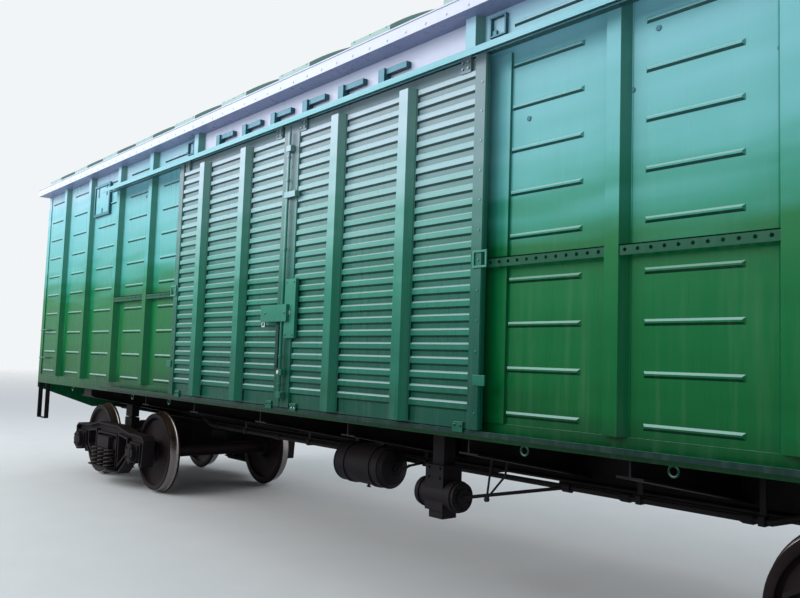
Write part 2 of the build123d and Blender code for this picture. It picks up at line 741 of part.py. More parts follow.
def end_ladder():
    """Ladder to the roof, on lugs from the end wall."""
    outer = END_X - SILL_PLATE
    x_low, x_high = outer + LADDER_OUT - BAR, outer + LADDER_OUT
    y_low, y_high = -LADDER_Y, -LADDER_Y + LADDER_WIDTH
    z_low, z_high = SILL_TOP + 20, ROOF_LOW + 40
    ladder = block((x_low, x_high), (y_low, y_low + BAR), (z_low, z_high))
    ladder += block((x_low, x_high), (y_high - BAR, y_high), (z_low, z_high))
    pitch = (z_high - z_low - 160) / (RUNGS - 1)
    for rung in range(RUNGS):
        z = z_low + 80 + rung * pitch
        ladder += block((x_low, x_high), (y_low, y_high), (z - BAR / 2, z + BAR / 2))
    lug_low, lug_high = bead_heights()[0] + BEAD_PITCH / 2, bead_heights()[-1] - BEAD_PITCH / 2
    for z in (lug_low, lug_high):
        for y in (y_low, y_high - BAR):
            ladder += block((outer, x_high), (y, y + BAR), (z - BAR, z + BAR))
    return ladder


def uncoupling_lever():
    """Bent rod in two lugs on the end sill, from the wagon's side to above the coupler."""
    x, z = END_X + 60, COUPLER_Z + STRIKER_Z + 45
    handle = SILL_Y - 120
    points = [
        (x + 70, -handle - 60, z - 230),
        (x, -handle, z - 40),
        (x, -handle + 60, z),
        (x, -40, z),
        (x + 150, -40, z + 10),
    ]
    lever = bar_along(points, LEVER_R)
    for y in (-handle + 160, -STRIKER_Y - 60):
        lever += block((END_X, x + 20), (y - 15, y + 15), (z - 25, z + 25))
    return lever


# Brake gear under the body

def air_reservoir():
    """Drum with two dished ends."""
    x, y, z = RESERVOIR_AT
    drum = round_x(0, 0, RESERVOIR_R, -RESERVOIR_HALF, RESERVOIR_HALF)
    reach = RESERVOIR_HALF
    radius = RESERVOIR_R
    # Each dish is two short cones, given as the share of the radius left and the length
    for share, length in ((0.82, 45.0), (0.35, 35.0)):
        cone = Pos(reach + length / 2, 0, 0) * Rot(0, 90, 0) * Cone(radius, share * RESERVOIR_R, length)
        drum += ends(cone)
        radius = share * RESERVOIR_R
        reach += length
    return Pos(x, y, z) * drum


def reservoir_straps():
    """Two rings round the drum, each hung from the floor by a flat bar."""
    x, y, z = RESERVOIR_AT
    inner = RESERVOIR_R + SEAT
    half = STRAP_WIDTH / 2
    straps = []
    for place in (x - STRAP_OFFSET, x + STRAP_OFFSET):
        ring = round_x(y, z, inner + STRAP_T, place - half, place + half)
        ring -= round_x(y, z, inner, place - half, place + half)
        bar = block((place - half, place + half), (y - 12, y + 12), (z + inner + STRAP_T / 2, FRAME_TOP))
        straps.append(ring + bar)
    return straps


def brake_cylinder():
    """Cylinder on a bracket from the centre sill, with its covers and rod."""
    x, y, z = CYLINDER_AT
    rear, front = x - CYLINDER_HALF, x + CYLINDER_HALF
    body = round_x(y, z, CYLINDER_R, rear, front)
    body += round_x(y, z, CYLINDER_R + 27, rear - COVER_RIM, rear + COVER_RIM)
    body += round_x(y, z, CYLINDER_R + 27, front - 24, front)
    body += round_x(y, z, 70, front, front + 90) + round_x(y, z, 25, front + 89, front + PISTON_REACH)
    return body + block((rear + 30, front - 30), (WEB_Y + WEB_T, y), (z - 90, z + 90))


def air_distributor():
    """Block with a round valve portion on each side, hung from the floor, and its branch to the pipe."""
    x, y = DISTRIBUTOR_AT
    low, high, half = DISTRIBUTOR_LOW, DISTRIBUTOR_HIGH, DISTRIBUTOR_HALF
    body = block((x - half, x + half), (y - half, y + half), (low + 60, high))
    body += block((x - 73, x + 73), (y - 73, y + 73), (low, low + 61))
    body += round_x(y, VALVE_Z, VALVE_R, x - VALVE_REACH, x + VALVE_REACH)
    body += block((x - 60, x + 60), (y - 60, y + 60), (high - 1, FRAME_TOP))
    body += bar_along([(x + VALVE_REACH - 1, y, VALVE_Z), (BRANCH_X, *PIPE_MID)], BRANCH_R)
    body += round_x(*PIPE_MID, PIPE_RADIUS + 14, BRANCH_X - 35, BRANCH_X + 35)
    return body - round_x(*PIPE_MID, PIPE_RADIUS + SEAT, BRANCH_X - 100, BRANCH_X + 100)


def train_pipe():
    """Brake pipe along the underframe, lifted over the bogies, with its hangers and end cocks."""
    end = END_X + 60
    half = [(PIVOT_X - 1550, *PIPE_MID), (PIVOT_X - 950, *PIPE_END), (end, *PIPE_END)]
    pipe = bar_along([(-x, y, z) for x, y, z in reversed(half)] + half, PIPE_RADIUS)
    y, z = PIPE_MID
    for x in PIPE_HANGER_XS:
        pipe += block((x - 20, x + 20), (y - 30, y + 30), (z - 27, z + 30))
        pipe += block((x - 20, x + 20), (y - 5, y + 5), (z + 20, FRAME_TOP))
    y, z = PIPE_END
    cock = round_x(y, z, PIPE_RADIUS + 16, end - 1, end + 90) + round_z(end + 45, y, 16, z, z + 80)
    return pipe + ends(cock)


def brake_rods():
    """A lever at each end of the cylinder, led under the centre sill to the pull rod of its bogie."""
    x, y, z = CYLINDER_AT
    low = CENTRE_LOW - ROD_DROP
    bogie_lever = PIVOT_X - WHEELBASE_HALF + TREAD_DIA / 2
    reach = bogie_lever - 120
    rods = []
    # Face that the lever stands against and the place where its rod ends
    for face, rod_end in ((x + CYLINDER_HALF + PISTON_REACH, reach), (x - CYLINDER_HALF - COVER_RIM, -reach)):
        away = math.copysign(ROD_LEVER_T, rod_end)
        wide = sorted((face, face + away))
        lever = block(wide, (y - 25, y + 25), (low - 12, z + 30))
        lever += block(wide, (-25, y), (low - 12, low + 12))
        rod_x = sorted((face + away / 2, rod_end))
        rods.append(lever + round_x(0, low, ROD_RADIUS, *rod_x))
    return rods


# Bogies

def side_frame():
    """Cast side frame: an I-section truss with jaws for the axle boxes and a window for the springs."""
    foot = AXLE_Z - 156.5
    half = [
        (0, FRAME_LOW),
        (430, FRAME_LOW),
        (720, foot + 50),
        (720, foot),
        (WHEELBASE_HALF - JAW_HALF, foot),
        (WHEELBASE_HALF - JAW_HALF, JAW_ROOF),
        (WHEELBASE_HALF + JAW_HALF, JAW_ROOF),
        (WHEELBASE_HALF + JAW_HALF, foot),
        (WHEELBASE_HALF + JAW_HALF + 90, foot),
        (WHEELBASE_HALF + JAW_HALF + 120, JAW_ROOF + 68),
        (WHEELBASE_HALF + JAW_HALF + 40, JAW_ROOF + 118),
        (700, TOP_CHORD - 60),
        (340, TOP_CHORD),
    ]
    outline = make_face(Polyline(*half, *[(-x, z) for x, z in reversed(half[1:])], close=True))
    window = [
        (-WINDOW_HALF, SPRING_SEAT),
        (WINDOW_HALF, SPRING_SEAT),
        (WINDOW_HALF, WINDOW_TOP),
        (-WINDOW_HALF, WINDOW_TOP),
    ]
    outline -= make_face(Polyline(*window, close=True))
    gap = [(400, FRAME_LOW + 112), (660, FRAME_LOW + 292), (660, JAW_ROOF + 38), (400, JAW_ROOF + 68)]
    for side in (-1, 1):
        outline -= make_face(Polyline(*[(side * x, z) for x, z in gap], close=True))
    recess = offset(outline, -FRAME_RIM, kind=Kind.INTERSECTION)
    depth = (FRAME_T - FRAME_WEB) / 2
    outer = FRAME_Y + FRAME_T / 2
    frame = Pos(0, outer, 0) * extrude(Plane.XZ * outline, FRAME_T)
    for y in (outer, outer - FRAME_T + depth):
        frame -= Pos(0, y, 0) * extrude(Plane.XZ * recess, depth)
    reach = SPRING_RADIUS + 97
    return frame + block((-330, 330), (FRAME_Y - reach, FRAME_Y + reach), (SPRING_SEAT - 16, SPRING_SEAT))


def truck_bolster():
    """Fish-bellied bolster with the centre bowl, the side bearings and its core holes."""
    end_y, shoulder_y, fish_y = FRAME_Y + 130, FRAME_Y - 110, FRAME_Y - 190
    low = AXLE_Z - 78.5
    half = [
        (0, BOLSTER_TOP),
        (560, BOLSTER_TOP),
        (shoulder_y, BOLSTER_END_Z),
        (end_y, BOLSTER_END_Z),
        (end_y, SPRING_TOP),
        (fish_y, SPRING_TOP),
        (480, low + 10),
        (0, low),
    ]
    outline = half + [(-y, z) for y, z in reversed(half[1:-1])]
    body = along_x(outline, -BOLSTER_HALF, BOLSTER_HALF)
    bowl_top = PIVOT_Z + BOWL_DEPTH
    body += round_z(0, 0, BOWL_RADIUS + BOWL_RIM, BOLSTER_TOP - 10, bowl_top)
    body -= round_z(0, 0, BOWL_RADIUS, PIVOT_Z, bowl_top)
    body -= round_z(0, 0, KINGPIN_RADIUS + 3, PIVOT_Z - 180, PIVOT_Z)
    for side in (-1, 1):
        y = side * SIDE_BEARING_Y
        body += block((-110, 110), (y - 55, y + 55), (BOLSTER_END_Z, PIVOT_Z + BEARING_RISE))
        hole = [(300, low + 90), (560, low + 110), (560, low + 230), (300, low + 250)]
        body -= along_x([(side * y, z) for y, z in hole], -BOLSTER_HALF, BOLSTER_HALF)
    return body


def friction_wedge():
    """Wedge between the bolster's end and the column of the side frame, standing on the outer springs."""
    inner, outer = BOLSTER_HALF + SEAT, WINDOW_HALF - SEAT
    top = WINDOW_TOP - 40
    outline = [
        (inner, SPRING_TOP),
        (outer, SPRING_TOP),
        (outer, top),
        (inner + 60, top),
        (inner, (SPRING_TOP + top) / 2),
    ]
    half = FRAME_T / 2 - 5
    return along_y(outline, FRAME_Y - half, FRAME_Y + half)


def springs():
    return [
        round_z(x, FRAME_Y + y, SPRING_RADIUS, SPRING_SEAT, SPRING_TOP)
        for x, y in SPRING_PLACES
    ]


def axle_box():
    """Bearing housing in the jaw, with its round front cover."""
    x = WHEELBASE_HALF
    y_low, y_high = FRAME_Y - FRAME_T / 2 - 8, FRAME_Y + FRAME_T / 2 + BOX_PROUD
    cover_end = FRAME_Y + JOURNAL_HALF + BOX_PROUD
    outline = [
        (x - BOX_HALF, JAW_ROOF),
        (x + BOX_HALF, JAW_ROOF),
        (x + BOX_HALF, AXLE_Z - 60),
        (x + 75, AXLE_Z - 125),
        (x - 75, AXLE_Z - 125),
        (x - BOX_HALF, AXLE_Z - 60),
    ]
    box = along_y(outline, y_low, y_high) + round_y(x, AXLE_Z, COVER_R, y_high - 1, cover_end)
    return box - round_y(x, AXLE_Z, JOURNAL_RADIUS + JOURNAL_PLAY, y_low, cover_end - BOX_PROUD + 4)


def brake_beam():
    """Beam across the bogie with a shoe at each wheel tread, its hangers and the upright lever."""
    tread = TREAD_DIA / 2 + SHOE_GAP
    shoe_t = 50
    back = WHEELBASE_HALF - tread - shoe_t
    inside = FRAME_Y - FRAME_T / 2
    beam = block((back - 46, back + 2), (-inside, inside), (AXLE_Z - 45, AXLE_Z + 15))
    ring = round_y(WHEELBASE_HALF, AXLE_Z, tread + shoe_t, -SHOE_WIDTH / 2, SHOE_WIDTH / 2)
    ring -= round_y(WHEELBASE_HALF, AXLE_Z, tread, -SHOE_WIDTH / 2, SHOE_WIDTH / 2)
    ring &= block((back - 60, back + 140), (-SHOE_WIDTH / 2, SHOE_WIDTH / 2), (AXLE_Z - 190, AXLE_Z + 160))
    for side in (-1, 1):
        beam += Pos(0, side * (WHEEL_BACK_Y + RIM_WIDTH / 2 + 15), 0) * ring
        low, high = sorted((side * (inside - 60), side * (inside - 40)))
        beam += block((back - 30, back - 5), (low, high), (AXLE_Z - 20, TOP_CHORD - 90))
        low, high = sorted((side * (inside - 61), side * inside))
        beam += block((back - 35, back), (low, high), (TOP_CHORD - 125, TOP_CHORD - 90))
    lever_top = PIVOT_Z - 80
    return beam + block((back - 30, back - 6), (-45, 45), (AXLE_Z - 170, lever_top))


def brake_beams():
    """The two beams of a bogie, joined by the rod under the bolster."""
    reach = WHEELBASE_HALF - TREAD_DIA / 2 - SHOE_GAP - 70
    rod = round_x(0, AXLE_Z - 150, ROD_RADIUS, -reach, reach)
    front, rear = ends(brake_beam())
    return front + rear + rod


def wheelset():
    """Axle with its two wheels, turned about Y."""
    tread = TREAD_DIA / 2
    back, front = WHEEL_BACK_Y, WHEEL_BACK_Y + RIM_WIDTH
    rim = tread - RIM_DEPTH
    web_front = back + WEB_FRONT
    journal = FRAME_Y - FRAME_T / 2 - 25
    half = [
        (0, AXLE_RADIUS),
        (back - HUB_OVERHANG, AXLE_RADIUS),
        (back - HUB_OVERHANG, HUB_RADIUS),
        (web_front - WHEEL_WEB_T, HUB_RADIUS),
        (web_front - WHEEL_WEB_T, rim),
        (back, rim),
        (back, tread + FLANGE),
        (back + FLANGE_THICK / 2, tread + FLANGE),
        (back + FLANGE_THICK, tread),
        (front, tread),
        (front, rim),
        (web_front, rim),
        (web_front, HUB_RADIUS),
        (front + HUB_PROUD, HUB_RADIUS),
        (front + HUB_PROUD, JOURNAL_RADIUS + 17),
        (journal, JOURNAL_RADIUS + 17),
        (journal, JOURNAL_RADIUS),
        (FRAME_Y + JOURNAL_HALF, JOURNAL_RADIUS),
        (FRAME_Y + JOURNAL_HALF, 0),
    ]
    outline = half + [(-y, r) for y, r in reversed(half[1:])]
    face = make_face(Polyline(*[(r, y) for y, r in outline], close=True))
    return Pos(0, 0, AXLE_Z) * revolve(face, Axis.Y)


os.makedirs("parts", exist_ok=True)

save("centre_sill", [centre_sill()])
save("side_sills", across(side_sill()))
beams = [cross_beam(x, BEAM_WIDTH, BEAM_LOW_IN, BEAM_LOW_OUT, BEAM_PLATE, BEAM_PLATE) for x in CROSS_BEAM_XS]
save("cross_beams", [copy for beam in beams for copy in quarters(beam)])
save("body_bolsters", [arm - pipe_hole() for arm in quarters(body_bolster())])
save("centre_plates", ends(centre_plate()))
save("end_sills", [sill - pipe_hole() for sill in ends(end_sill())])
floor_end, floor_side = END_X - SILL_PLATE, SILL_Y - SILL_PLATE
save("floor", [block((-floor_end, floor_end), (-floor_side, floor_side), (FRAME_TOP, FLOOR_TOP))])
save("couplers", half_turn(coupler()))

for side, turned in (("right", True), ("left", False)):
    wall, posts = side_wall(), side_posts()
    if turned:
        wall = mirror(wall, about=Plane.XZ)
        posts = [mirror(post, about=Plane.XZ) for post in posts]
    save(f"{side}_wall_front", [wall])
    save(f"{side}_wall_rear", [mirror(wall, about=Plane.YZ)])
    save(f"{side}_posts", posts + [mirror(post, about=Plane.YZ) for post in posts])
save("guard_rails", [copy for rail in guard_rails() for copy in quarters(rail)])
save("door_headers", across(door_header()))
brackets = [mirror(bracket, about=Plane.XZ) for bracket in hood_brackets()]
save("hood_brackets", [copy for bracket in brackets for copy in half_turn(bracket)])
save("door_hoods", across(door_hood()))
save("lower_tracks", across(lower_track()))
save("eave_rails", across(eave_rail()))
save("roof", [roof()])
save("roof_hatches", roof_hatches())
save("end_wall_front", [end_wall()])
save("end_wall_rear", [mirror(end_wall(), about=Plane.YZ)])
save("end_posts", quarters(end_post()))
save("corner_steps", quarters(corner_step()))
save("end_ladders", half_turn(end_ladder()))
save("uncoupling_levers", half_turn(uncoupling_lever()))

# Places of the two hat stiffeners on each leaf of the right side
FRONT_LEAF_POSTS = (646.0, 1461.0)
REAR_LEAF_POSTS = (-1574.0, -770.0)
front_leaf = door_leaf(MEETING_X, LEAF_EDGE_X, MEETING_STILE, LEAF_STILE, FRONT_LEAF_POSTS)
rear_leaf = door_leaf(-LEAF_EDGE_X, MEETING_X - MEETING_GAP, LEAF_STILE, LEAF_STILE, REAR_LEAF_POSTS)
# Name on the right side, name on the left side and shape
doors = (
    ("door_front", "door_rear", front_leaf),
    ("door_rear", "door_front", rear_leaf),
    ("door_lock", "door_lock", door_lock()),
)
for right_name, left_name, shape in doors:
    right, left = half_turn(mirror(shape, about=Plane.XZ))
    save(f"right_{right_name}", [right])
    save(f"left_{left_name}", [left])

save("air_reservoir", [air_reservoir()])
save("reservoir_straps", reservoir_straps())
save("brake_cylinder", [brake_cylinder()])
save("air_distributor", [air_distributor()])
save("train_pipe", [train_pipe()])
save("brake_rods", brake_rods())

for end, pivot in (("front", PIVOT_X), ("rear", -PIVOT_X)):
    place = Pos(pivot, 0, 0)
    wedges = quarters(friction_wedge())
    save(f"{end}_side_frames", [place * frame for frame in across(side_frame())])
    save(f"{end}_bogie_bolster", [place * piece for piece in [truck_bolster()] + wedges])
    save(f"{end}_springs", [place * copy for spring in springs() for copy in across(spring)])
    save(f"{end}_axle_boxes", [place * box for box in quarters(axle_box())])
    save(f"{end}_brake_beams", [place * brake_beams()])
    for name, axle in (("outer", WHEELBASE_HALF), ("inner", -WHEELBASE_HALF)):
        x = pivot + math.copysign(1, pivot) * axle
        save(f"{end}_{name}_wheelset", [Pos(x, 0, 0) * wheelset()])
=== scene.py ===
import bmesh
import bpy
import math
from mathutils import Matrix, Vector


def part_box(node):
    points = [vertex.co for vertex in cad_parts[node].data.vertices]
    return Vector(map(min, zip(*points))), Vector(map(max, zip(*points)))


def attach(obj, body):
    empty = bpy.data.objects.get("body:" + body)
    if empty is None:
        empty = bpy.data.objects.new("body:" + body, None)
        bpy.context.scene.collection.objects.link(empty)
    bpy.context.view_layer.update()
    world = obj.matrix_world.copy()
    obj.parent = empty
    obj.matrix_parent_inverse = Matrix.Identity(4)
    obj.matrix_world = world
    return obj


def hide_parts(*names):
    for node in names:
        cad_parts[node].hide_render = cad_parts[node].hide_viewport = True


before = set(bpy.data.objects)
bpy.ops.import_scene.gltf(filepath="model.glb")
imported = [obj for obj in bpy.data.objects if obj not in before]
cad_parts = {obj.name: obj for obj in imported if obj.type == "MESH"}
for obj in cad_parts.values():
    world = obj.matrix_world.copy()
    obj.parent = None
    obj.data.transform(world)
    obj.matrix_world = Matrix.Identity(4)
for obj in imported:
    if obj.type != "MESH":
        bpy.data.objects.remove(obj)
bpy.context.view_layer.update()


# Painted bodywork: pressed steel sheets, hat posts, doors, hood, eaves and ends.
# Two coats of gloss green enamel sprayed over welded sheet. Towards the roof its colour pales as a painted
# sky reflection; it stays deep green at the sill and, as painted shade, on faces that look along the wagon.

def linear(code):
    """Linear colour from an sRGB hex code."""
    parts = [int(code[i:i + 2], 16) / 255 for i in (0, 2, 4)]
    return [part / 12.92 if part <= 0.04045 else ((part + 0.055) / 1.055) ** 2.4 for part in parts] + [1.0]


def add_node(tree, kind, inputs=None, **settings):
    """Adds a node, sets its values and links its sockets."""
    node = tree.nodes.new(kind)
    for name, value in settings.items():
        setattr(node, name, value)
    for name, value in (inputs or {}).items():
        if isinstance(value, bpy.types.NodeSocket):
            tree.links.new(value, node.inputs[name])
        else:
            node.inputs[name].default_value = value
    return node


def start_material(name):
    """Empty material, its node tree and the place of a point on the object in metres."""
    material = bpy.data.materials.new(name)
    material.use_nodes = True
    tree = material.node_tree
    tree.nodes.clear()
    return material, tree, add_node(tree, "ShaderNodeTexCoord").outputs["Object"]


def noise(tree, place, size, detail, distortion=0.0):
    """Soft noise whose patches have one size in metres, or one for each axis."""
    if isinstance(size, tuple):
        scale = tuple(1 / each for each in size)
        place = add_node(tree, "ShaderNodeMapping", {"Vector": place, "Scale": scale}).outputs[0]
        size = 1.0
    return add_node(tree, "ShaderNodeTexNoise", {
        "Vector": place, "Scale": 1 / size, "Detail": detail, "Distortion": distortion}).outputs[0]


def math_node(tree, operation, *values):
    """Number worked out from others."""
    return add_node(tree, "ShaderNodeMath", dict(enumerate(values)), operation=operation).outputs[0]


def span(tree, value, start=0.0, end=1.0, low=0.0, high=1.0):
    """Number that runs from low to high while the value runs from start to end."""
    return add_node(tree, "ShaderNodeMapRange", {
        "Value": value, "From Min": start, "From Max": end, "To Min": low, "To Max": high}).outputs[0]


def blend(tree, share, first, second):
    """Mix of two colours, the first a hex code or a socket and the second a hex code."""
    first = linear(first) if isinstance(first, str) else first
    mix = add_node(tree, "ShaderNodeMix", {0: share, 6: first, 7: linear(second)}, data_type="RGBA")
    return mix.outputs[2]


def surface(tree, inputs):
    """Ends a material in one plain surface."""
    shader = add_node(tree, "ShaderNodeBsdfPrincipled", inputs)
    add_node(tree, "ShaderNodeOutputMaterial", {"Surface": shader.outputs[0]})


def dress(material, *nodes):
    """Gives CAD nodes a material."""
    for name in nodes:
        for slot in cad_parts[name].material_slots:
            slot.material = material


# Ripples of the sheet between its beads, 650 mm apart
SHEET_RIPPLE = 0.65
# Waves of the edge of the painted sky reflection: their length, height and swing up and down
WAVE_LONG = 1.1
WAVE_HIGH = 0.14
WAVE_SWING = 0.5
# Runs of dust that rain has drawn, 50 mm wide and 900 mm long
STREAK_WIDE = 0.05
STREAK_LONG = 0.9
# Orange peel of the spray, really 3 mm but drawn at 12 mm so that it shows
SPRAY_GRAIN = 0.012
# Rounding of a folded edge
EDGE_ROUND = 0.004
# Heights between which the colour ramp runs
RAMP_LOW = 1.0
RAMP_HIGH = 5.0
# Distances from the middle of the wagon of a leaf's grooves, its rib crests and its edge stiles
VALLEY_Y = 1.536
CREST_Y = 1.548
STILE_Y = 1.558
STILE_STEP = 0.003


def enamel(name, stops, side_shade, top_highlight, shade, groove_shade=0.0, stile_shade=0.0):
    """Enamel on sheet steel: one colour for each height, paling upwards as a painted sky reflection,
    painted shade on faces looking along the wagon and down, in grooves and on edge stiles, a painted
    highlight on top."""
    material, tree, place = start_material(name)
    axes = add_node(tree, "ShaderNodeSeparateXYZ", {0: place}).outputs
    broad = noise(tree, place, SHEET_RIPPLE, 2.0)
    streak = noise(tree, place, (STREAK_WIDE, STREAK_WIDE, STREAK_LONG), 3.0)
    grain = noise(tree, place, SPRAY_GRAIN, 1.0)
    # The colour ramp by height is a painted sky reflection, pale high up, with a wavy lower edge.
    wave = noise(tree, place, (WAVE_LONG, WAVE_LONG, WAVE_HIGH), 1.0)
    height = math_node(tree, "MULTIPLY_ADD", wave, WAVE_SWING, axes["Z"])
    share = span(tree, height, RAMP_LOW + WAVE_SWING / 2, RAMP_HIGH + WAVE_SWING / 2)
    paint = add_node(tree, "ShaderNodeValToRGB", {0: share})
    ramp = paint.color_ramp.elements
    while len(ramp) < len(stops):
        ramp.new(1.0)
    for element, (level, code) in zip(ramp, stops):
        element.position = (level - RAMP_LOW) / (RAMP_HIGH - RAMP_LOW)
        element.color = linear(code)
    # Faces that look along the wagon get painted shade, and faces that look up a painted highlight.
    facing = add_node(tree, "ShaderNodeNewGeometry").outputs["Normal"]
    sides = add_node(tree, "ShaderNodeSeparateXYZ", {0: facing}).outputs
    along = math_node(tree, "ABSOLUTE", sides["X"])
    side_shade_share = span(tree, along, start=0.45, end=0.9, high=0.75)
    side_shaded = blend(tree, side_shade_share, paint.outputs[0], side_shade)
    top_light_share = span(tree, sides["Z"], start=0.1, end=0.8, high=0.7)
    top_lit = blend(tree, top_light_share, side_shaded, top_highlight)
    # Grooves, edge stiles and faces that look down get painted shade.
    across = math_node(tree, "ABSOLUTE", axes["Y"])
    sunk = span(tree, across, start=VALLEY_Y, end=CREST_Y, low=groove_shade, high=0.0)
    on_stile = math_node(tree, "COMPARE", across, STILE_Y, STILE_STEP)
    groove_and_stile_shade = math_node(tree, "MULTIPLY_ADD", on_stile, stile_shade, sunk)
    under = span(tree, sides["Z"], start=-0.1, end=-0.7, high=0.88)
    shade_share = math_node(tree, "MAXIMUM", under, groove_and_stile_shade)
    shaded = blend(tree, shade_share, top_lit, shade)
    runs = span(tree, streak, start=0.52, end=0.8, high=0.06)
    dusty = blend(tree, runs, shaded, "9aa99c")
    gloss = span(tree, streak, start=0.3, end=0.75, low=0.24, high=0.42)
    edge = add_node(tree, "ShaderNodeBevel", {"Radius": EDGE_ROUND}, samples=4)
    ripple = add_node(tree, "ShaderNodeBump", {
        "Strength": 0.35, "Distance": 0.02, "Height": broad, "Normal": edge.outputs[0]})
    skin = add_node(tree, "ShaderNodeBump", {
        "Strength": 0.12, "Distance": 0.001, "Height": grain, "Normal": ripple.outputs[0]})
    surface(tree, {
        "Base Color": dusty, "Roughness": gloss, "Normal": skin.outputs[0], "IOR": 1.5,
        "Specular IOR Level": 0.11, "Coat Weight": 0.04, "Coat Roughness": 0.1})
    return material


# Height in metres and the colour there, from the sill up to the eaves
BODY_STOPS = (
    (1.20, "003d1c"), (1.55, "005829"), (2.36, "026a38"), (2.62, "2f8e78"), (2.85, "58aaa6"),
    (3.60, "7cc0c9"), (4.10, "b8d6ea"),
)
# The leaves' ramp also pales upwards as a painted sky reflection.
LEAF_STOPS = (
    (1.20, "0e4634"), (1.60, "195f4b"), (2.25, "2e7f6a"), (2.65, "60a398"), (3.10, "97c0c4"),
    (3.70, "bccfdc"),
)
EAVE_STOPS = ((1.2, "bcc4da"), (4.2, "d8ddf0"))
ROOF_STOPS = ((3.6, "93b3ae"), (4.7, "a9c6c2"))
# The small irons' ramp also pales upwards as a painted sky reflection.
SHADED_IRON_STOPS = ((1.2, "0e2a24"), (2.2, "163f3a"), (3.6, "4c8593"), (4.1, "6fa3b8"))
# Gloss enamel in deep green, with a painted sky reflection that turns it pale sky green along a soft, wavy
# edge.
body_enamel = enamel("gloss_enamel_on_sheet_steel", BODY_STOPS, "0c5c3a", "b4dad6", "0a2a20")
# On the ribbed leaves painted shade darkens the grooves and the edge stiles, which sets each rib off.
leaf_enamel = enamel("gloss_enamel_on_ribbed_leaves", LEAF_STOPS, "1c6c52", "c6e4e4", "0b2c26",
                     groove_shade=0.45, stile_shade=0.5)
# The eaves' pale lavender is painted sky glare; faces that look down take a slate purple painted shade.
eave_enamel = enamel("pale_enamel_on_eaves_painted_glare_and_shade", EAVE_STOPS, "8f93b4", "e4e9f5", "686b92")
# The roof's grey green enamel is painted pale, paler higher up, as glare of the bright sky on it.
roof_enamel = enamel("pale_enamel_on_roof_painted_glare", ROOF_STOPS, "6f9189", "bdd2ce", "4c6a64")
# Brackets, small fittings and the track are painted darker than the sheets behind them as painted shade.
bracket_enamel = enamel("shaded_enamel_on_small_irons", SHADED_IRON_STOPS, "1d4a4c", "7fb0b8", "16303a")

WALLS = [f"{side}_wall_{end}" for side in ("left", "right") for end in ("front", "rear")]
LEAVES = [f"{side}_door_{end}" for side in ("left", "right") for end in ("front", "rear")]
dress(body_enamel, *WALLS, "left_posts", "right_posts", "side_sills", "end_sills")
dress(body_enamel, "end_wall_front", "end_wall_rear", "end_posts", "door_hoods", "end_ladders")
dress(leaf_enamel, *LEAVES, "left_door_lock", "right_door_lock")
dress(bracket_enamel, "hood_brackets", "lower_tracks")
# The door headers wear the pale eave enamel, painted light against the shade under the eaves.
dress(eave_enamel, "eave_rails", "door_headers")
dress(roof_enamel, "roof", "roof_hatches")


# Weld seams down both feet of each hat post. A wire-fed seam is a low round bead of steel under the same
# paint, and it shows as a thin bright line beside the post.

def rod(mesh, start, end, radius, sides=12):
    """Round bar, or with six sides a bolt head, between two points."""
    start, end = Vector(start), Vector(end)
    turn = (end - start).to_track_quat("Z", "Y").to_matrix().to_4x4()
    place = Matrix.Translation((start + end) / 2) @ turn
    bmesh.ops.create_cone(mesh, cap_ends=True, segments=sides, radius1=radius, radius2=radius,
                          depth=(end - start).length, matrix=place)


def add_object(name, data):
    """Object in the scene that shows the given data."""
    made = bpy.data.objects.new(name, data)
    bpy.context.scene.collection.objects.link(made)
    return made


# Angle over which an edge is drawn sharp
SHARP_OVER = math.radians(35)


def piece(name, mesh, material, body, bevel=0.0):
    """Finished mesh as an object that rides on its body, with crisp edges kept sharp."""
    data = bpy.data.meshes.new(name)
    bmesh.ops.recalc_face_normals(mesh, faces=mesh.faces)
    mesh.to_mesh(data)
    mesh.free()
    data.materials.append(material)
    data.shade_smooth()
    data.set_sharp_from_angle(angle=SHARP_OVER)
    made = add_object(name, data)
    if bevel:
        rounding = made.modifiers.new("rounded_edges", "BEVEL")
        rounding.width = bevel
        rounding.segments = 2
    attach(made, body)
    return made


def corners():
    """Signs of the four corners of the wagon."""
    return [(x, y) for x in (-1, 1) for y in (-1, 1)]


SHEET_Y = 1.430
POST_XS = (1.982, 3.095, 4.045, 5.060, 6.030)
POST_FOOT = 0.081
SILL_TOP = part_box("side_sills")[1].z
EAVE_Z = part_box("eave_rails")[0].z
ROOF_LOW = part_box("eave_rails")[1].z
SEAM = 0.005

seams = bmesh.new()
for x_sign, y_sign in corners():
    for post in POST_XS:
        for foot in (-POST_FOOT, POST_FOOT):
            x, y = x_sign * (post + foot), y_sign * SHEET_Y
            rod(seams, (x, y, SILL_TOP), (x, y, EAVE_Z), SEAM, 6)
piece("post_weld_seams", seams, body_enamel, "wagon_body")


# Guard rails between the posts: pressed angles that keep an open leaf off the beads. The outer flange
# has a row of round holes for lashing hooks, punched before the rail was welded in.

# The guard rails wear a darker green than the sheet at their height, paling only a little upwards.
RAIL_STOPS = ((1.2, "033424"), (4.1, "0d6a4c"))
rail_enamel = enamel("dark_green_enamel_on_guard_rails", RAIL_STOPS, "0e5444", "9cc8c4", "0c2a24")

HOLE_R = 0.011
HOLE_PITCH = 0.075
HOLE_SIDES = 12
RAIL_PLATE = 0.006
SHEET_GAP = 0.001
POST_HALF = 0.046
GUARD_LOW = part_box("guard_rails")[0].z
GUARD_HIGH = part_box("guard_rails")[1].z
GUARD_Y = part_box("guard_rails")[1].y
# Each rail runs from one post to the next
GUARD_SPANS = tuple((near + POST_HALF, far - POST_HALF) for near, far in zip(POST_XS[:2], POST_XS[1:3]))


def slab(mesh, low, high):
    """Flat bar or plate between two corners."""
    middle = [(a + b) / 2 for a, b in zip(low, high)]
    size = [abs(b - a) for a, b in zip(low, high)]
    bmesh.ops.create_cube(mesh, size=1.0, matrix=Matrix.Translation(middle) @ Matrix.Diagonal((*size, 1.0)))


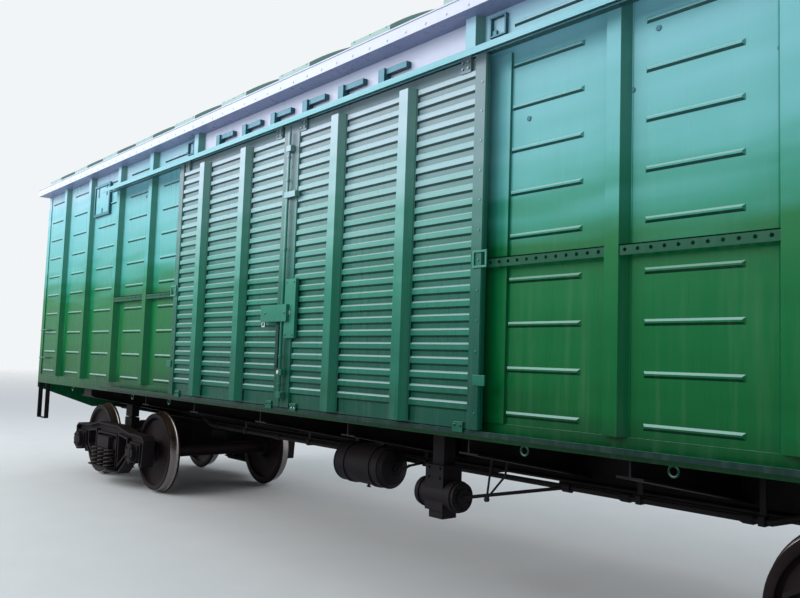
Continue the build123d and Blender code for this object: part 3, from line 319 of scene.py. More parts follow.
def punched_strip(mesh, x_low, x_high, y, z_low, z_high, holes):
    """Upright strip in the X-Z plane with evenly spaced round holes."""
    pitch = (x_high - x_low) / holes
    middle = (z_low + z_high) / 2
    half_x, half_z = pitch / 2, (z_high - z_low) / 2
    for hole in range(holes):
        x = x_low + (hole + 0.5) * pitch
        ring, frame_ring = [], []
        for side in range(HOLE_SIDES):
            angle = 2 * math.pi * side / HOLE_SIDES
            c, s = math.cos(angle), math.sin(angle)
            reach = min(half_x / max(abs(c), 1e-6), half_z / max(abs(s), 1e-6))
            ring.append(mesh.verts.new((x + HOLE_R * c, y, middle + HOLE_R * s)))
            frame_ring.append(mesh.verts.new((x + reach * c, y, middle + reach * s)))
        for side in range(HOLE_SIDES):
            after = (side + 1) % HOLE_SIDES
            mesh.faces.new((ring[side], frame_ring[side], frame_ring[after], ring[after]))
        for x_sign in (-1, 1):
            for z_sign in (-1, 1):
                corner = mesh.verts.new((x + x_sign * half_x, y, middle + z_sign * half_z))
                near = sorted(frame_ring, key=lambda vert: (vert.co - corner.co).length)[:2]
                mesh.faces.new((near[0], near[1], corner))


for index, (x_sign, y_sign) in enumerate(corners()):
    rail = bmesh.new()
    y_low, y_high = sorted((y_sign * (SHEET_Y + SHEET_GAP), y_sign * GUARD_Y))
    for start, end in GUARD_SPANS:
        holes = round((end - start) / HOLE_PITCH)
        x_low, x_high = sorted((x_sign * start, x_sign * end))
        punched_strip(rail, x_low, x_high, y_sign * GUARD_Y, GUARD_LOW, GUARD_HIGH, holes)
        punched_strip(rail, x_low, x_high, y_sign * (GUARD_Y - RAIL_PLATE),
                      GUARD_LOW, GUARD_HIGH - RAIL_PLATE, holes)
        slab(rail, (x_low, y_low, GUARD_HIGH - RAIL_PLATE), (x_high, y_high, GUARD_HIGH))
        slab(rail, (x_low, y_low, GUARD_LOW), (x_low + RAIL_PLATE, y_high, GUARD_HIGH))
    made = piece(f"guard_rail_{index}", rail, rail_enamel, "wagon_body")
    if index == 0:
        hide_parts("guard_rails")


# Lashing eyes under the side sills: rings of round bar, welded by their necks to the sill's lower flange.
# The bar is bent hot into a ring, closed by a weld and painted with the sill.

EYE_XS = (2.454, 3.429, 5.45)
EYE_R = 0.028
EYE_BAR = 0.006
EYE_INSET = 0.02
SILL_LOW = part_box("side_sills")[0].z
SILL_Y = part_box("side_sills")[1].y


def bent_ring(mesh, centre, across, up, bar, steps):
    """Closed ring of round bar, with half its width and half its height given as directions."""
    centre, across, up = Vector(centre), Vector(across), Vector(up)
    points = []
    for step in range(steps + 1):
        angle = 2 * math.pi * step / steps
        points.append(centre + across * math.sin(angle) + up * math.cos(angle))
    for start, end in zip(points, points[1:]):
        rod(mesh, start, end, bar, 8)


eyes = bmesh.new()
for x_sign, y_sign in corners():
    for x in EYE_XS:
        centre = (x_sign * x, y_sign * (SILL_Y - EYE_INSET), SILL_LOW - EYE_R)
        bent_ring(eyes, centre, (EYE_R, 0, 0), (0, 0, EYE_R), EYE_BAR, 16)
piece("lashing_eyes", eyes, body_enamel, "wagon_body")


# Small fittings on the sides: the framed seat above the jamb, the blank round plugs of the sheet and the
# grab irons over the corner steps. Each is bent or cut from thin steel and welded to the sheet, and is
# painted darker than the sheet as painted shade.

SEAT_X = (2.118, 2.256)
SEAT_Z = (3.838, 3.978)
SEAT_OUT = 0.028
SEAT_BAR = 0.012
SEAT_LUG = 0.05
SEAT_LUG_OUT = 0.016
# Place along the wagon and height of each plug
PLUGS = ((2.446, 3.246), (3.332, 3.550), (3.178, 3.249), (3.975, 3.261))
PLUG_R = 0.016
PLUG_OUT = 0.006
IRON_X = (6.50, 6.78)
IRON_Z = (1.62, 2.02)
IRON_OUT = 0.055
IRON_R = 0.009
# Rounding of cut edges
CUT_EDGE = 0.0015


def plate(mesh, x_sign, y_sign, x, y, z):
    """Flat bar between two values on each axis, turned to the asked corner of the wagon."""
    x_low, x_high = sorted(x_sign * value for value in x)
    y_low, y_high = sorted(y_sign * value for value in y)
    slab(mesh, (x_low, y_low, z[0]), (x_high, y_high, z[1]))


def hoop(mesh, x_sign, y_sign, x, y, z, bar):
    """Upright frame of four bars with an open middle."""
    plate(mesh, x_sign, y_sign, x, y, (z[0], z[0] + bar))
    plate(mesh, x_sign, y_sign, x, y, (z[1] - bar, z[1]))
    plate(mesh, x_sign, y_sign, (x[0], x[0] + bar), y, (z[0] + bar, z[1] - bar))
    plate(mesh, x_sign, y_sign, (x[1] - bar, x[1]), y, (z[0] + bar, z[1] - bar))


def head(mesh, foot, out, radius, sides=6):
    """Bolt head, rivet or short pin that stands out from its foot by a length on each axis."""
    rod(mesh, foot, Vector(foot) + Vector(out), radius, sides)


def grab_iron(mesh, low, high, out):
    """Round bar held off a face by the two legs it is bent from."""
    low, high, out = Vector(low), Vector(high), Vector(out)
    rod(mesh, low + out, high + out, IRON_R, 10)
    for foot in (low, high):
        rod(mesh, foot, foot + out + out.normalized() * IRON_R / 2, IRON_R, 10)


fittings = bmesh.new()
for x_sign, y_sign in corners():
    hoop(fittings, x_sign, y_sign, SEAT_X, (SHEET_Y, SHEET_Y + SEAT_OUT), SEAT_Z, SEAT_BAR)
    plate(fittings, x_sign, y_sign, (SEAT_X[0], SEAT_X[0] + SEAT_LUG), (SHEET_Y, SHEET_Y + SEAT_LUG_OUT),
          (SEAT_Z[0], SEAT_Z[0] + SEAT_LUG))
    sheet = y_sign * SHEET_Y
    for x, z in PLUGS:
        head(fittings, (x_sign * x, sheet, z), (0, y_sign * PLUG_OUT, 0), PLUG_R, 16)
    for z in IRON_Z:
        near, far = ((x_sign * x, sheet, z) for x in IRON_X)
        grab_iron(fittings, near, far, (0, y_sign * IRON_OUT, 0))
piece("side_fittings", fittings, bracket_enamel, "wagon_body", CUT_EDGE)


# Side hatches near the eaves, one in the panel next to each corner. A flat steel lid hangs from two strap
# hinges inside a frame of angle, painted darker as painted shade, and a turn button holds it shut.

HATCH_X = (4.425, 4.960)
HATCH_Z = (3.480, 3.895)
HATCH_BAR = 0.034
HATCH_OUT = 0.036
LID_GAP = 0.004
LID_OUT = 0.022
LID_EDGE = 0.002
# How deep a small part sits in the face that carries it
SUNK = 0.001
STRAP_INSET = 0.13
STRAP_HALF = 0.018
STRAP_T = 0.006
# Ends of a strap, down from the top of the frame
STRAP_DOWN = (0.16, 0.01)
PIN_R = 0.009
PIN_OUT = 0.008
PIN_UP = 0.002
BUTTON_HALF = 0.012
BUTTON_T = 0.009
# Ends of the turn button, up from the bottom of the frame
BUTTON_UP = (0.01, 0.10)

hatch_frames = bmesh.new()
lids = bmesh.new()
lid_x = (HATCH_X[0] + HATCH_BAR + LID_GAP, HATCH_X[1] - HATCH_BAR - LID_GAP)
lid_z = (HATCH_Z[0] + HATCH_BAR + LID_GAP, HATCH_Z[1] - HATCH_BAR - LID_GAP)
lid_face = SHEET_Y + LID_OUT - SUNK
button_x = sum(HATCH_X) / 2
for x_sign, y_sign in corners():
    hoop(hatch_frames, x_sign, y_sign, HATCH_X, (SHEET_Y, SHEET_Y + HATCH_OUT), HATCH_Z, HATCH_BAR)
    plate(lids, x_sign, y_sign, lid_x, (SHEET_Y + SHEET_GAP, SHEET_Y + LID_OUT), lid_z)
    for x in (HATCH_X[0] + STRAP_INSET, HATCH_X[1] - STRAP_INSET):
        plate(hatch_frames, x_sign, y_sign, (x - STRAP_HALF, x + STRAP_HALF),
              (lid_face, lid_face + STRAP_T), [HATCH_Z[1] - down for down in STRAP_DOWN])
        y, z = y_sign * (lid_face + PIN_OUT), lid_z[1] + PIN_UP
        reach = STRAP_HALF + STRAP_T
        rod(hatch_frames, (x_sign * (x - reach), y, z), (x_sign * (x + reach), y, z), PIN_R)
    plate(hatch_frames, x_sign, y_sign, (button_x - BUTTON_HALF, button_x + BUTTON_HALF),
          (lid_face, lid_face + BUTTON_T), [HATCH_Z[0] + up for up in BUTTON_UP])
piece("side_hatch_frames", hatch_frames, bracket_enamel, "wagon_body", CUT_EDGE)
piece("side_hatch_lids", lids, body_enamel, "wagon_body", LID_EDGE)


# Door leaves: bolts of the hangers and shoes, plug welds down the edge stiles, the flat catches at the
# outer edge and the pins of the rollers. The heads are forged and painted over with the leaf.

LEAF_LOW = 1.328
HANGER_UP = 0.052
# Rounding of forged heads
HEAD_EDGE = 0.001
LEAF_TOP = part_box("right_door_front")[1].z - HANGER_UP
HANGER_INSET = 0.180
BOLT_APART = 0.025
HANGER_BOLTS_DOWN = (0.066, 0.026)
HANGER_BOLT_R = 0.010
HANGER_BOLT_HIGH = 0.009
SHOE_Y = 1.546
SHOE_BOLT_UP = 0.02
SHOE_BOLT_R = 0.009
ROLLER_UP = 0.038
ROLLER_PIN_R = 0.012
ROLLER_PIN_LONG = 0.012
ROLLER_PIN_SUNK = 0.002
WELD_INSET = 0.028
WELD_START = 0.10
WELD_PITCH = 0.19
WELD_R = 0.008
WELD_HIGH = 0.004
WELDS = 12
# Framed catch at the guard rail's height and the flat stop below it
CATCH_X = (2.122, 2.243)
CATCH_Z = (2.328, 2.438)
CATCH_BAR = 0.014
STOP_X = (2.150, 2.250)
STOP_Z = (1.600, 1.665)
CATCH_OUT = 0.010

for side, y_sign in (("right", -1), ("left", 1)):
    for end, x_sign in (("front", 1), ("rear", -1)):
        low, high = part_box(f"{side}_door_{end}")
        bolts = bmesh.new()
        face = y_sign * STILE_Y
        for x in (low.x + HANGER_INSET, high.x - HANGER_INSET):
            for bolt_x in (x - BOLT_APART, x + BOLT_APART):
                for down in HANGER_BOLTS_DOWN:
                    out = (0, y_sign * HANGER_BOLT_HIGH, 0)
                    head(bolts, (bolt_x, face, LEAF_TOP - down), out, HANGER_BOLT_R)
                z = LEAF_LOW + SHOE_BOLT_UP
                rod(bolts, (bolt_x, y_sign * SHOE_Y, z), (bolt_x, face, z), SHOE_BOLT_R, 6)
            foot = (x, face - y_sign * ROLLER_PIN_SUNK, LEAF_TOP + ROLLER_UP)
            head(bolts, foot, (0, y_sign * ROLLER_PIN_LONG, 0), ROLLER_PIN_R, 16)
        for x in (low.x + WELD_INSET, high.x - WELD_INSET):
            for step in range(WELDS):
                z = LEAF_LOW + WELD_START + step * WELD_PITCH
                head(bolts, (x, face, z), (0, y_sign * WELD_HIGH, 0), WELD_R, 10)
        hoop(bolts, x_sign, y_sign, CATCH_X, (STILE_Y, STILE_Y + CATCH_OUT), CATCH_Z, CATCH_BAR)
        plate(bolts, x_sign, y_sign, STOP_X, (STILE_Y, STILE_Y + CATCH_OUT), STOP_Z)
        piece(f"{side}_{end}_door_bolts", bolts, leaf_enamel, f"{side}_{end}_door", HEAD_EDGE)


# Door lock: a flat catch bar on the other leaf that the hasp closes over, collars and bolts on the lock rod
# and its box, and the worn parts, which are the hasp's seal eye, the pins and the tips of the bottom lugs.

def bare_steel(name, grain, detail, dull, bright, smooth, rough):
    """Bare steel that use has rubbed in spots, as far apart as the grain says."""
    material, tree, place = start_material(name)
    spots = noise(tree, place, grain, detail)
    surface(tree, {
        "Base Color": blend(tree, spots, dull, bright), "Metallic": 1.0,
        "Roughness": span(tree, spots, low=smooth, high=rough)})
    return material


# Spots of rubbing 4.5 mm apart
WEAR_GRAIN = 0.0045
# Hands and the hook keep these few spots of steel bright, so they wink white against the dark green.
hand_worn = bare_steel("hand_worn_steel", WEAR_GRAIN, 3.0, "8f9492", "e4e8e8", 0.25, 0.5)

ROD_X = -0.030
ROD_Y = 1.588
BAR_X = (-0.152, -0.108)
BAR_Z = (1.630, 2.050)
BAR_OUT = 0.012
BAR_BOLTS_IN = 0.035
BAR_BOLT_R = 0.010
SEAL_X = (-0.325, -0.275)
SEAL_Y = (1.590, 1.604)
SEAL_Z = (1.985, 2.032)
SEAL_BAR = 0.010
GUIDE_PIN_Y = (1.600, 1.612)
GUIDE_PIN_Z = 1.613
GUIDE_PIN_R = 0.016
# Place along the wagon and height
HASP_PIN = (0.075, 2.10)
HASP_PIN_R = 0.020
LUG_XS = (0.120, 0.160)
LUG_Y = (1.549, 1.560)
LUG_UP = 0.006
LUG_R = 0.008
COLLAR_ZS = (1.50, 1.73, 2.62, 3.20, 3.40)
COLLAR_R = 0.018
COLLAR_HIGH = 0.022
BOX_BOLTS = ((0.02, 1.92), (0.13, 1.92), (0.02, 2.35), (0.13, 2.35))
BOX_BOLT_R = 0.009
HASP_Y = 1.616
HASP_BOLTS = (-0.26, 0.04)
HASP_BOLT_Z = 2.10
HASP_BOLT_R = 0.011
LOCK_HEAD_HIGH = 0.006
# The lock's leaf and the other leaf on each side; the left side is the right side turned half round
LOCKS = (("right", "front", "rear", 1, -1), ("left", "rear", "front", -1, 1))

for side, own, other, x_sign, y_sign in LOCKS:
    raised = (0, y_sign * LOCK_HEAD_HIGH, 0)
    sunk = (0, y_sign * (LOCK_HEAD_HIGH + SUNK), 0)
    bar = bmesh.new()
    plate(bar, x_sign, y_sign, BAR_X, (STILE_Y, STILE_Y + BAR_OUT), BAR_Z)
    for z in (BAR_Z[0] + BAR_BOLTS_IN, BAR_Z[1] - BAR_BOLTS_IN):
        head(bar, (x_sign * sum(BAR_X) / 2, y_sign * (STILE_Y + BAR_OUT - SUNK), z), sunk, BAR_BOLT_R)
    piece(f"{side}_catch_bar", bar, bracket_enamel, f"{side}_{other}_door", CUT_EDGE)
    worn = bmesh.new()
    hoop(worn, x_sign, y_sign, SEAL_X, SEAL_Y, SEAL_Z, SEAL_BAR)
    x = x_sign * ROD_X
    start, end = ((x, y_sign * y, GUIDE_PIN_Z) for y in GUIDE_PIN_Y)
    rod(worn, start, end, GUIDE_PIN_R, 16)
    head(worn, (x_sign * HASP_PIN[0], y_sign * ROD_Y, HASP_PIN[1]), raised, HASP_PIN_R, 20)
    for lug in LUG_XS:
        start, end = ((x_sign * lug, y_sign * y, LEAF_LOW + LUG_UP) for y in LUG_Y)
        rod(worn, start, end, LUG_R, 6)
    piece(f"{side}_lock_worn_parts", worn, hand_worn, f"{side}_{own}_door", HEAD_EDGE)
    collars = bmesh.new()
    for z in COLLAR_ZS:
        head(collars, (x, y_sign * ROD_Y, z), (0, 0, COLLAR_HIGH), COLLAR_R, 20)
    for bolt_x, z in BOX_BOLTS:
        head(collars, (x_sign * bolt_x, y_sign * ROD_Y, z), raised, BOX_BOLT_R)
    for bolt_x in HASP_BOLTS:
        head(collars, (x_sign * bolt_x, y_sign * (HASP_Y - SUNK), HASP_BOLT_Z), sunk, HASP_BOLT_R)
    piece(f"{side}_lock_collars", collars, leaf_enamel, f"{side}_{own}_door", HEAD_EDGE)


# Roof fittings: a strap hinge and two swing bolts on each loading hatch, and the rivets that hold each
# cross fold down to the eaves. They are forged and painted over with the roof.

FOLD_PITCH = 1.030
FOLDS_EACH_WAY = 6
FOLD_RIVETS = (-0.19, 0.0, 0.19)
FOLD_RIVET_UP = 0.030
FOLD_RIVET_R = 0.011
# A rivet leans out and up with the roof's edge
FOLD_END_Y = 1.585
FOLD_RIVET_OUT = 0.014
FOLD_RIVET_RISE = 0.010
HATCH_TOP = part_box("roof_hatches")[1].z
HATCH_XS = (-5.665, -2.575, 2.575, 5.665)
# Each depth is down from the top of the hatch
STRAP_WIDE = 0.050
STRAP_Y = (-0.19, 0.10)
STRAP_DEPTHS = (0.014, 0.001)
HINGE_WIDE = 0.080
HINGE_Y = (0.225, 0.262)
HINGE_DEPTHS = (0.062, 0.006)
HINGE_PIN_Y = 0.243
HINGE_PIN_DEPTH = 0.014
HINGE_PIN_HALF = 0.055
HINGE_PIN_R = 0.010
SWING_R = 0.252
SWING_ANGLES = (205, 335)
SWING_DEPTHS = (0.075, 0.002)
SWING_BOLT_R = 0.009
NUT_HALF = 0.022
NUT_DEPTHS = (0.020, 0.010)

roof_irons = bmesh.new()
for x in HATCH_XS:
    for wide, ys, depths in ((STRAP_WIDE, STRAP_Y, STRAP_DEPTHS), (HINGE_WIDE, HINGE_Y, HINGE_DEPTHS)):
        slab(roof_irons, (x - wide / 2, ys[0], HATCH_TOP - depths[0]),
             (x + wide / 2, ys[1], HATCH_TOP - depths[1]))
    pin_z = HATCH_TOP - HINGE_PIN_DEPTH
    rod(roof_irons, (x - HINGE_PIN_HALF, HINGE_PIN_Y, pin_z), (x + HINGE_PIN_HALF, HINGE_PIN_Y, pin_z),
        HINGE_PIN_R)
    for angle in SWING_ANGLES:
        at_x = x + SWING_R * math.cos(math.radians(angle))
        at_y = SWING_R * math.sin(math.radians(angle))
        start, end = ((at_x, at_y, HATCH_TOP - depth) for depth in SWING_DEPTHS)
        rod(roof_irons, start, end, SWING_BOLT_R, 10)
        slab(roof_irons, (at_x - NUT_HALF, at_y - NUT_HALF, HATCH_TOP - NUT_DEPTHS[0]),
             (at_x + NUT_HALF, at_y + NUT_HALF, HATCH_TOP - NUT_DEPTHS[1]))
for fold in range(-FOLDS_EACH_WAY, FOLDS_EACH_WAY + 1):
    for y_sign in (-1, 1):
        for dx in FOLD_RIVETS:
            foot = (fold * FOLD_PITCH + dx, y_sign * FOLD_END_Y, ROOF_LOW + FOLD_RIVET_UP)
            head(roof_irons, foot, (0, y_sign * FOLD_RIVET_OUT, FOLD_RIVET_RISE), FOLD_RIVET_R, 10)
piece("roof_irons", roof_irons, roof_enamel, "wagon_body", HEAD_EDGE)


# Eave strip: a thin drip flange along the top of each eave rail, in four lengths with butt joints, and the
# button heads of the rivets below. It was rolled from flat bar and throws the rain clear of the doors.

DRIP_LONG = 3.459
DRIP_STARTS = (-6.93, -3.463, 0.004, 3.471)
DRIP_IN = 0.002
DRIP_OUT = 0.006
DRIP_DEPTHS = (0.012, 0.001)
RIVET_PITCH = 0.206
RIVETS_EACH_WAY = 33
RIVET_UP = 0.030
RIVET_HIGH = 0.004
RIVET_R = 0.009
EAVE_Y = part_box("eave_rails")[1].y

drip = bmesh.new()
for y_sign in (-1, 1):
    y_low, y_high = sorted((y_sign * (EAVE_Y - DRIP_IN), y_sign * (EAVE_Y + DRIP_OUT)))
    for x in DRIP_STARTS:
        slab(drip, (x, y_low, ROOF_LOW - DRIP_DEPTHS[0]),
             (x + DRIP_LONG, y_high, ROOF_LOW - DRIP_DEPTHS[1]))
    for step in range(-RIVETS_EACH_WAY, RIVETS_EACH_WAY + 1):
        foot = (step * RIVET_PITCH, y_sign * EAVE_Y, EAVE_Z + RIVET_UP)
        head(drip, foot, (0, y_sign * RIVET_HIGH, 0), RIVET_R, 8)
piece("eave_drip_strips", drip, eave_enamel, "wagon_body")


# End fittings: grab irons of bent round bar on both ends, and the rivets of the gable. They are as old as
# the wagon and painted with it.

END_FACE = 6.925
STEP_ZS = (1.55, 1.95, 2.35)
STEP_Y = (0.86, 1.24)
STEP_OUT = 0.070
GABLE_RIVETS = 14
GABLE_START = 0.05
GABLE_PITCH = 0.095
GABLE_RIVET_HIGH = 0.005
GABLE_RIVET_R = 0.008

end_irons = bmesh.new()
for x_sign, y_sign in corners():
    face = x_sign * END_FACE
    if x_sign * y_sign > 0:
        for z in STEP_ZS:
            near, far = ((face, y_sign * y, z) for y in STEP_Y)
            grab_iron(end_irons, near, far, (x_sign * STEP_OUT, 0, 0))
    for step in range(GABLE_RIVETS):
        foot = (face, y_sign * (GABLE_START + step * GABLE_PITCH), EAVE_Z + RIVET_UP)
        head(end_irons, foot, (x_sign * GABLE_RIVET_HIGH, 0, 0), GABLE_RIVET_R, 8)
piece("end_irons", end_irons, body_enamel, "wagon_body")


# Underframe, couplers and bogies: rolled steel sections and plates welded into one frame, and sand-cast
# steel below it. They carry a dull black paint that holds brown dust, more of it on top faces.

# Patches of dust 180 mm across, and grit of 6 mm, coarser than the real 1 mm so that it shows
DUST_PATCH = 0.18
GRIT = 0.006


def dull_paint(name, paint, dust, amount, roughness, metallic=0.0):
    """Dull paint or bare casting with dust: patches of dust on top faces and a gritty skin."""
    material, tree, place = start_material(name)
    facing = add_node(tree, "ShaderNodeNewGeometry").outputs["Normal"]
    up = add_node(tree, "ShaderNodeSeparateXYZ", {0: facing}).outputs["Z"]
    patch = noise(tree, place, DUST_PATCH, 4.0)
    grit = noise(tree, place, GRIT, 2.0)
    lie = math_node(tree, "MULTIPLY_ADD", up, 0.35, patch)
    cover = span(tree, lie, start=0.35, end=0.9, high=amount)
    rough = span(tree, patch, low=roughness - 0.1, high=roughness + 0.15)
    edge = add_node(tree, "ShaderNodeBevel", {"Radius": EDGE_ROUND}, samples=4)
    skin = add_node(tree, "ShaderNodeBump", {
        "Strength": 0.4, "Distance": 0.002, "Height": grit, "Normal": edge.outputs[0]})
    surface(tree, {
        "Base Color": blend(tree, cover, paint, dust), "Roughness": rough, "Metallic": metallic,
        "Normal": skin.outputs[0], "Specular IOR Level": 0.15})
    return material


# Bitumen paint looks dead black in the web and brown wherever dust has settled.
bitumen = dull_paint("bitumen_paint_on_rolled_steel", "0f0c11", "342c2b", 0.35, 0.6)
# Sand-cast steel keeps the grit of its mould, so it never shines, and oily dust turns it warm black.
casting = dull_paint("sand_cast_steel", "120e12", "342b29", 0.3, 0.65)

dress(bitumen, "centre_sill", "cross_beams", "body_bolsters", "centre_plates", "air_reservoir")
dress(bitumen, "reservoir_straps", "brake_cylinder", "air_distributor", "train_pipe", "brake_rods")
dress(bitumen, "corner_steps", "uncoupling_levers")
dress(casting, "couplers")
for end in ("front", "rear"):
    dress(casting, f"{end}_side_frames", f"{end}_bogie_bolster", f"{end}_axle_boxes", f"{end}_brake_beams")


# Brake cylinder: twelve cover bolts at each end and the boss of the push rod. The covers are cast and
# bolted through the flanges of the welded barrel.

SILL_PLATE = 0.012
CENTRE_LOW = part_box("centre_sill")[0].z + SILL_PLATE
CYLINDER_X = (0.940, 1.360)
CYLINDER_Y = 0.452
CYLINDER_Z = CENTRE_LOW + 0.150
COVER_BOLTS = 12
COVER_BOLT_OUT = 0.191
COVER_BOLT_R = 0.009
# Ends of the bolts, along the wagon from each end of the cylinder
FRONT_BOLT = (-0.034, 0.012)
REAR_BOLT = (-0.022, 0.022)
PUSH_BOSS = (-0.040, -0.013)
PUSH_BOSS_R = 0.045

cylinder = bmesh.new()
for step in range(COVER_BOLTS):
    angle = 2 * math.pi * step / COVER_BOLTS
    y = CYLINDER_Y + COVER_BOLT_OUT * math.cos(angle)
    z = CYLINDER_Z + COVER_BOLT_OUT * math.sin(angle)
    for x, ends in ((CYLINDER_X[1], FRONT_BOLT), (CYLINDER_X[0], REAR_BOLT)):
        rod(cylinder, (x + ends[0], y, z), (x + ends[1], y, z), COVER_BOLT_R, 6)
start, end = ((CYLINDER_X[0] + x, CYLINDER_Y, CYLINDER_Z) for x in PUSH_BOSS)
rod(cylinder, start, end, PUSH_BOSS_R, 24)
piece("brake_cylinder_bolts", cylinder, bitumen, "wagon_body", HEAD_EDGE)


# Air reservoir and train pipe: the seams where the dished ends meet the rolled barrel, the drain cock
# below, the bent steel branch to the train pipe, and the pipe's screwed couplings.

RESERVOIR = Vector((-0.040, -0.600, CENTRE_LOW - 0.075))
RESERVOIR_R = 0.175
BARREL_HALF = 0.300
BARREL_SEAM = 0.004
RING_HALF = 0.006
DISH_END = 0.381
BOSS = 0.017
BOSS_R = 0.036
COCK_UP = 0.004
COCK_DOWN = 0.030
COCK_R = 0.014
HANDLE_UP = 0.006
HANDLE_HALF = 0.030
HANDLE_R = 0.005
PIPE_Y = -0.390
PIPE_Z = CENTRE_LOW - 0.018
BRANCH_BAR = 0.011
BRANCH_RING = 0.002
# Bends of the branch pipe, from the middle of the reservoir
BRANCH_BENDS = ((0.398, 0, 0), (0.470, 0, 0.010), (0.500, 0.030, 0.040))
COUPLING_XS = (-3.30, -1.90, 2.47, 3.31)
# Half length, radius and sides of a coupling's nut and of its sleeve
COUPLING_PARTS = ((0.034, 0.031, 8), (0.045, 0.026, 16))


def cross_rod(mesh, centre, half, radius, sides=12):
    """Round bar along the wagon on both sides of its centre."""
    rod(mesh, centre - Vector((half, 0, 0)), centre + Vector((half, 0, 0)), radius, sides)


air = bmesh.new()
for dx in (-BARREL_HALF, BARREL_HALF):
    cross_rod(air, RESERVOIR + Vector((dx, 0, 0)), RING_HALF, RESERVOIR_R + BARREL_SEAM, 48)
head(air, RESERVOIR + Vector((DISH_END, 0, 0)), (BOSS, 0, 0), BOSS_R, 20)
cock = RESERVOIR - Vector((0, 0, RESERVOIR_R))
rod(air, cock + Vector((0, 0, COCK_UP)), cock - Vector((0, 0, COCK_DOWN)), COCK_R)
cross_rod(air, cock - Vector((0, 0, COCK_DOWN - HANDLE_UP)), HANDLE_HALF, HANDLE_R, 8)
branch = [RESERVOIR + Vector(bend) for bend in BRANCH_BENDS]
branch.append(Vector((branch[-1].x, PIPE_Y, PIPE_Z)))
for start, end in zip(branch, branch[1:]):
    rod(air, start, end, BRANCH_BAR)
    cross_rod(air, end, RING_HALF, BRANCH_BAR + BRANCH_RING)
for x in COUPLING_XS:
    for half, radius, sides in COUPLING_PARTS:
        cross_rod(air, Vector((x, PIPE_Y, PIPE_Z)), half, radius, sides)
piece("air_pipe_fittings", air, bitumen, "wagon_body", HEAD_EDGE)


# Air distributor: a flange ring, a cap and six bolts on each of its two valves, the bolts that hold it to
# its bracket, and the bent release rod, whose two legs come down from the floor to one eye.

DISTRIBUTOR = Vector((1.175, -0.850, CENTRE_LOW - 0.142))
VALVE_REACH = 0.208
# Each place is outwards from the valve's end face
FLANGE = (-0.030, -0.050)
FLANGE_R = 0.118
CAP_HIGH = 0.010
CAP_R = 0.060
VALVE_BOLTS = 6
VALVE_BOLT_OUT = 0.088
VALVE_BOLT_HIGH = 0.012
VALVE_BOLT_R = 0.009
BRACKET_BOLTS = (0.13, 0.20)
BRACKET_BOLT_X = 0.06
BRACKET_BOLT_Y = (-0.096, -0.108)
BRACKET_BOLT_R = 0.010
RELEASE_TOPS = (1.680, 1.825)
RELEASE_Z = (1.140, 0.957, 0.775)
RELEASE_LEAN = 0.028
RELEASE_BAR = 0.008
RELEASE_EYE = (1.625, 0.770)
RELEASE_EYE_HALF = 0.012
RELEASE_EYE_R = 0.018

valves = bmesh.new()
x, y, z = DISTRIBUTOR
for side in (-1, 1):
    face = x + side * VALVE_REACH
    start, end = ((face + side * out, y, z) for out in FLANGE)
    rod(valves, start, end, FLANGE_R, 32)
    head(valves, (face, y, z), (side * CAP_HIGH, 0, 0), CAP_R, 24)
    for step in range(VALVE_BOLTS):
        angle = 2 * math.pi * (step + 0.5) / VALVE_BOLTS
        at_y, at_z = y + VALVE_BOLT_OUT * math.cos(angle), z + VALVE_BOLT_OUT * math.sin(angle)
        foot = (face - side * SUNK, at_y, at_z)
        head(valves, foot, (side * (VALVE_BOLT_HIGH + SUNK), 0, 0), VALVE_BOLT_R)
    for up in BRACKET_BOLTS:
        start, end = ((x + side * BRACKET_BOLT_X, y + out, z + up) for out in BRACKET_BOLT_Y)
        rod(valves, start, end, BRACKET_BOLT_R, 6)
for top in RELEASE_TOPS:
    bend = (top - RELEASE_LEAN, y, RELEASE_Z[1])
    rod(valves, (top, y, RELEASE_Z[0]), bend, RELEASE_BAR, 10)
    rod(valves, bend, (RELEASE_EYE[0], y, RELEASE_Z[2]), RELEASE_BAR, 10)
start, end = ((RELEASE_EYE[0], y + out, RELEASE_EYE[1]) for out in (-RELEASE_EYE_HALF, RELEASE_EYE_HALF))
rod(valves, start, end, RELEASE_EYE_R, 16)
piece("distributor_bolts_and_release_rod", valves, bitumen, "wagon_body", HEAD_EDGE)


# Couplers: the pin and lock of each knuckle, the short chain that lifts the lock, the wear plate under the
# shank and the striker's rivets. The links are bent from round bar, all as dark as the casting.

COUPLER_Z = CENTRE_LOW + 0.200
HEAD_HALF = 0.144
# Places along and across the wagon
KNUCKLE_PIN = (7.115, 0.150)
KNUCKLE_PIN_R = 0.030
KNUCKLE_PIN_UP = 0.018
KNUCKLE_PIN_DOWN = 0.014
LOCK_CAP = (7.150, -0.120)
LOCK_CAP_R = 0.045
LOCK_CAP_HIGH = 0.008
CHAIN = (7.145, -0.040)
CHAIN_LOW = 0.155
LINKS = 3
LINK_PITCH = 0.024
LINK_WIDE = 0.0112
LINK_HIGH = 0.0224
LINK_BAR = 0.0045
SHANK_X = (6.960, 7.140)
SHANK_HALF = 0.060
WEAR_PLATE_Z = (-0.081, -0.074)
STRIKER_X = 7.029
STRIKER_Y = 0.165
STRIKER_ZS = (-0.13, -0.05, 0.05, 0.13)
STRIKER_RIVET_HIGH = 0.011
STRIKER_RIVET_R = 0.012

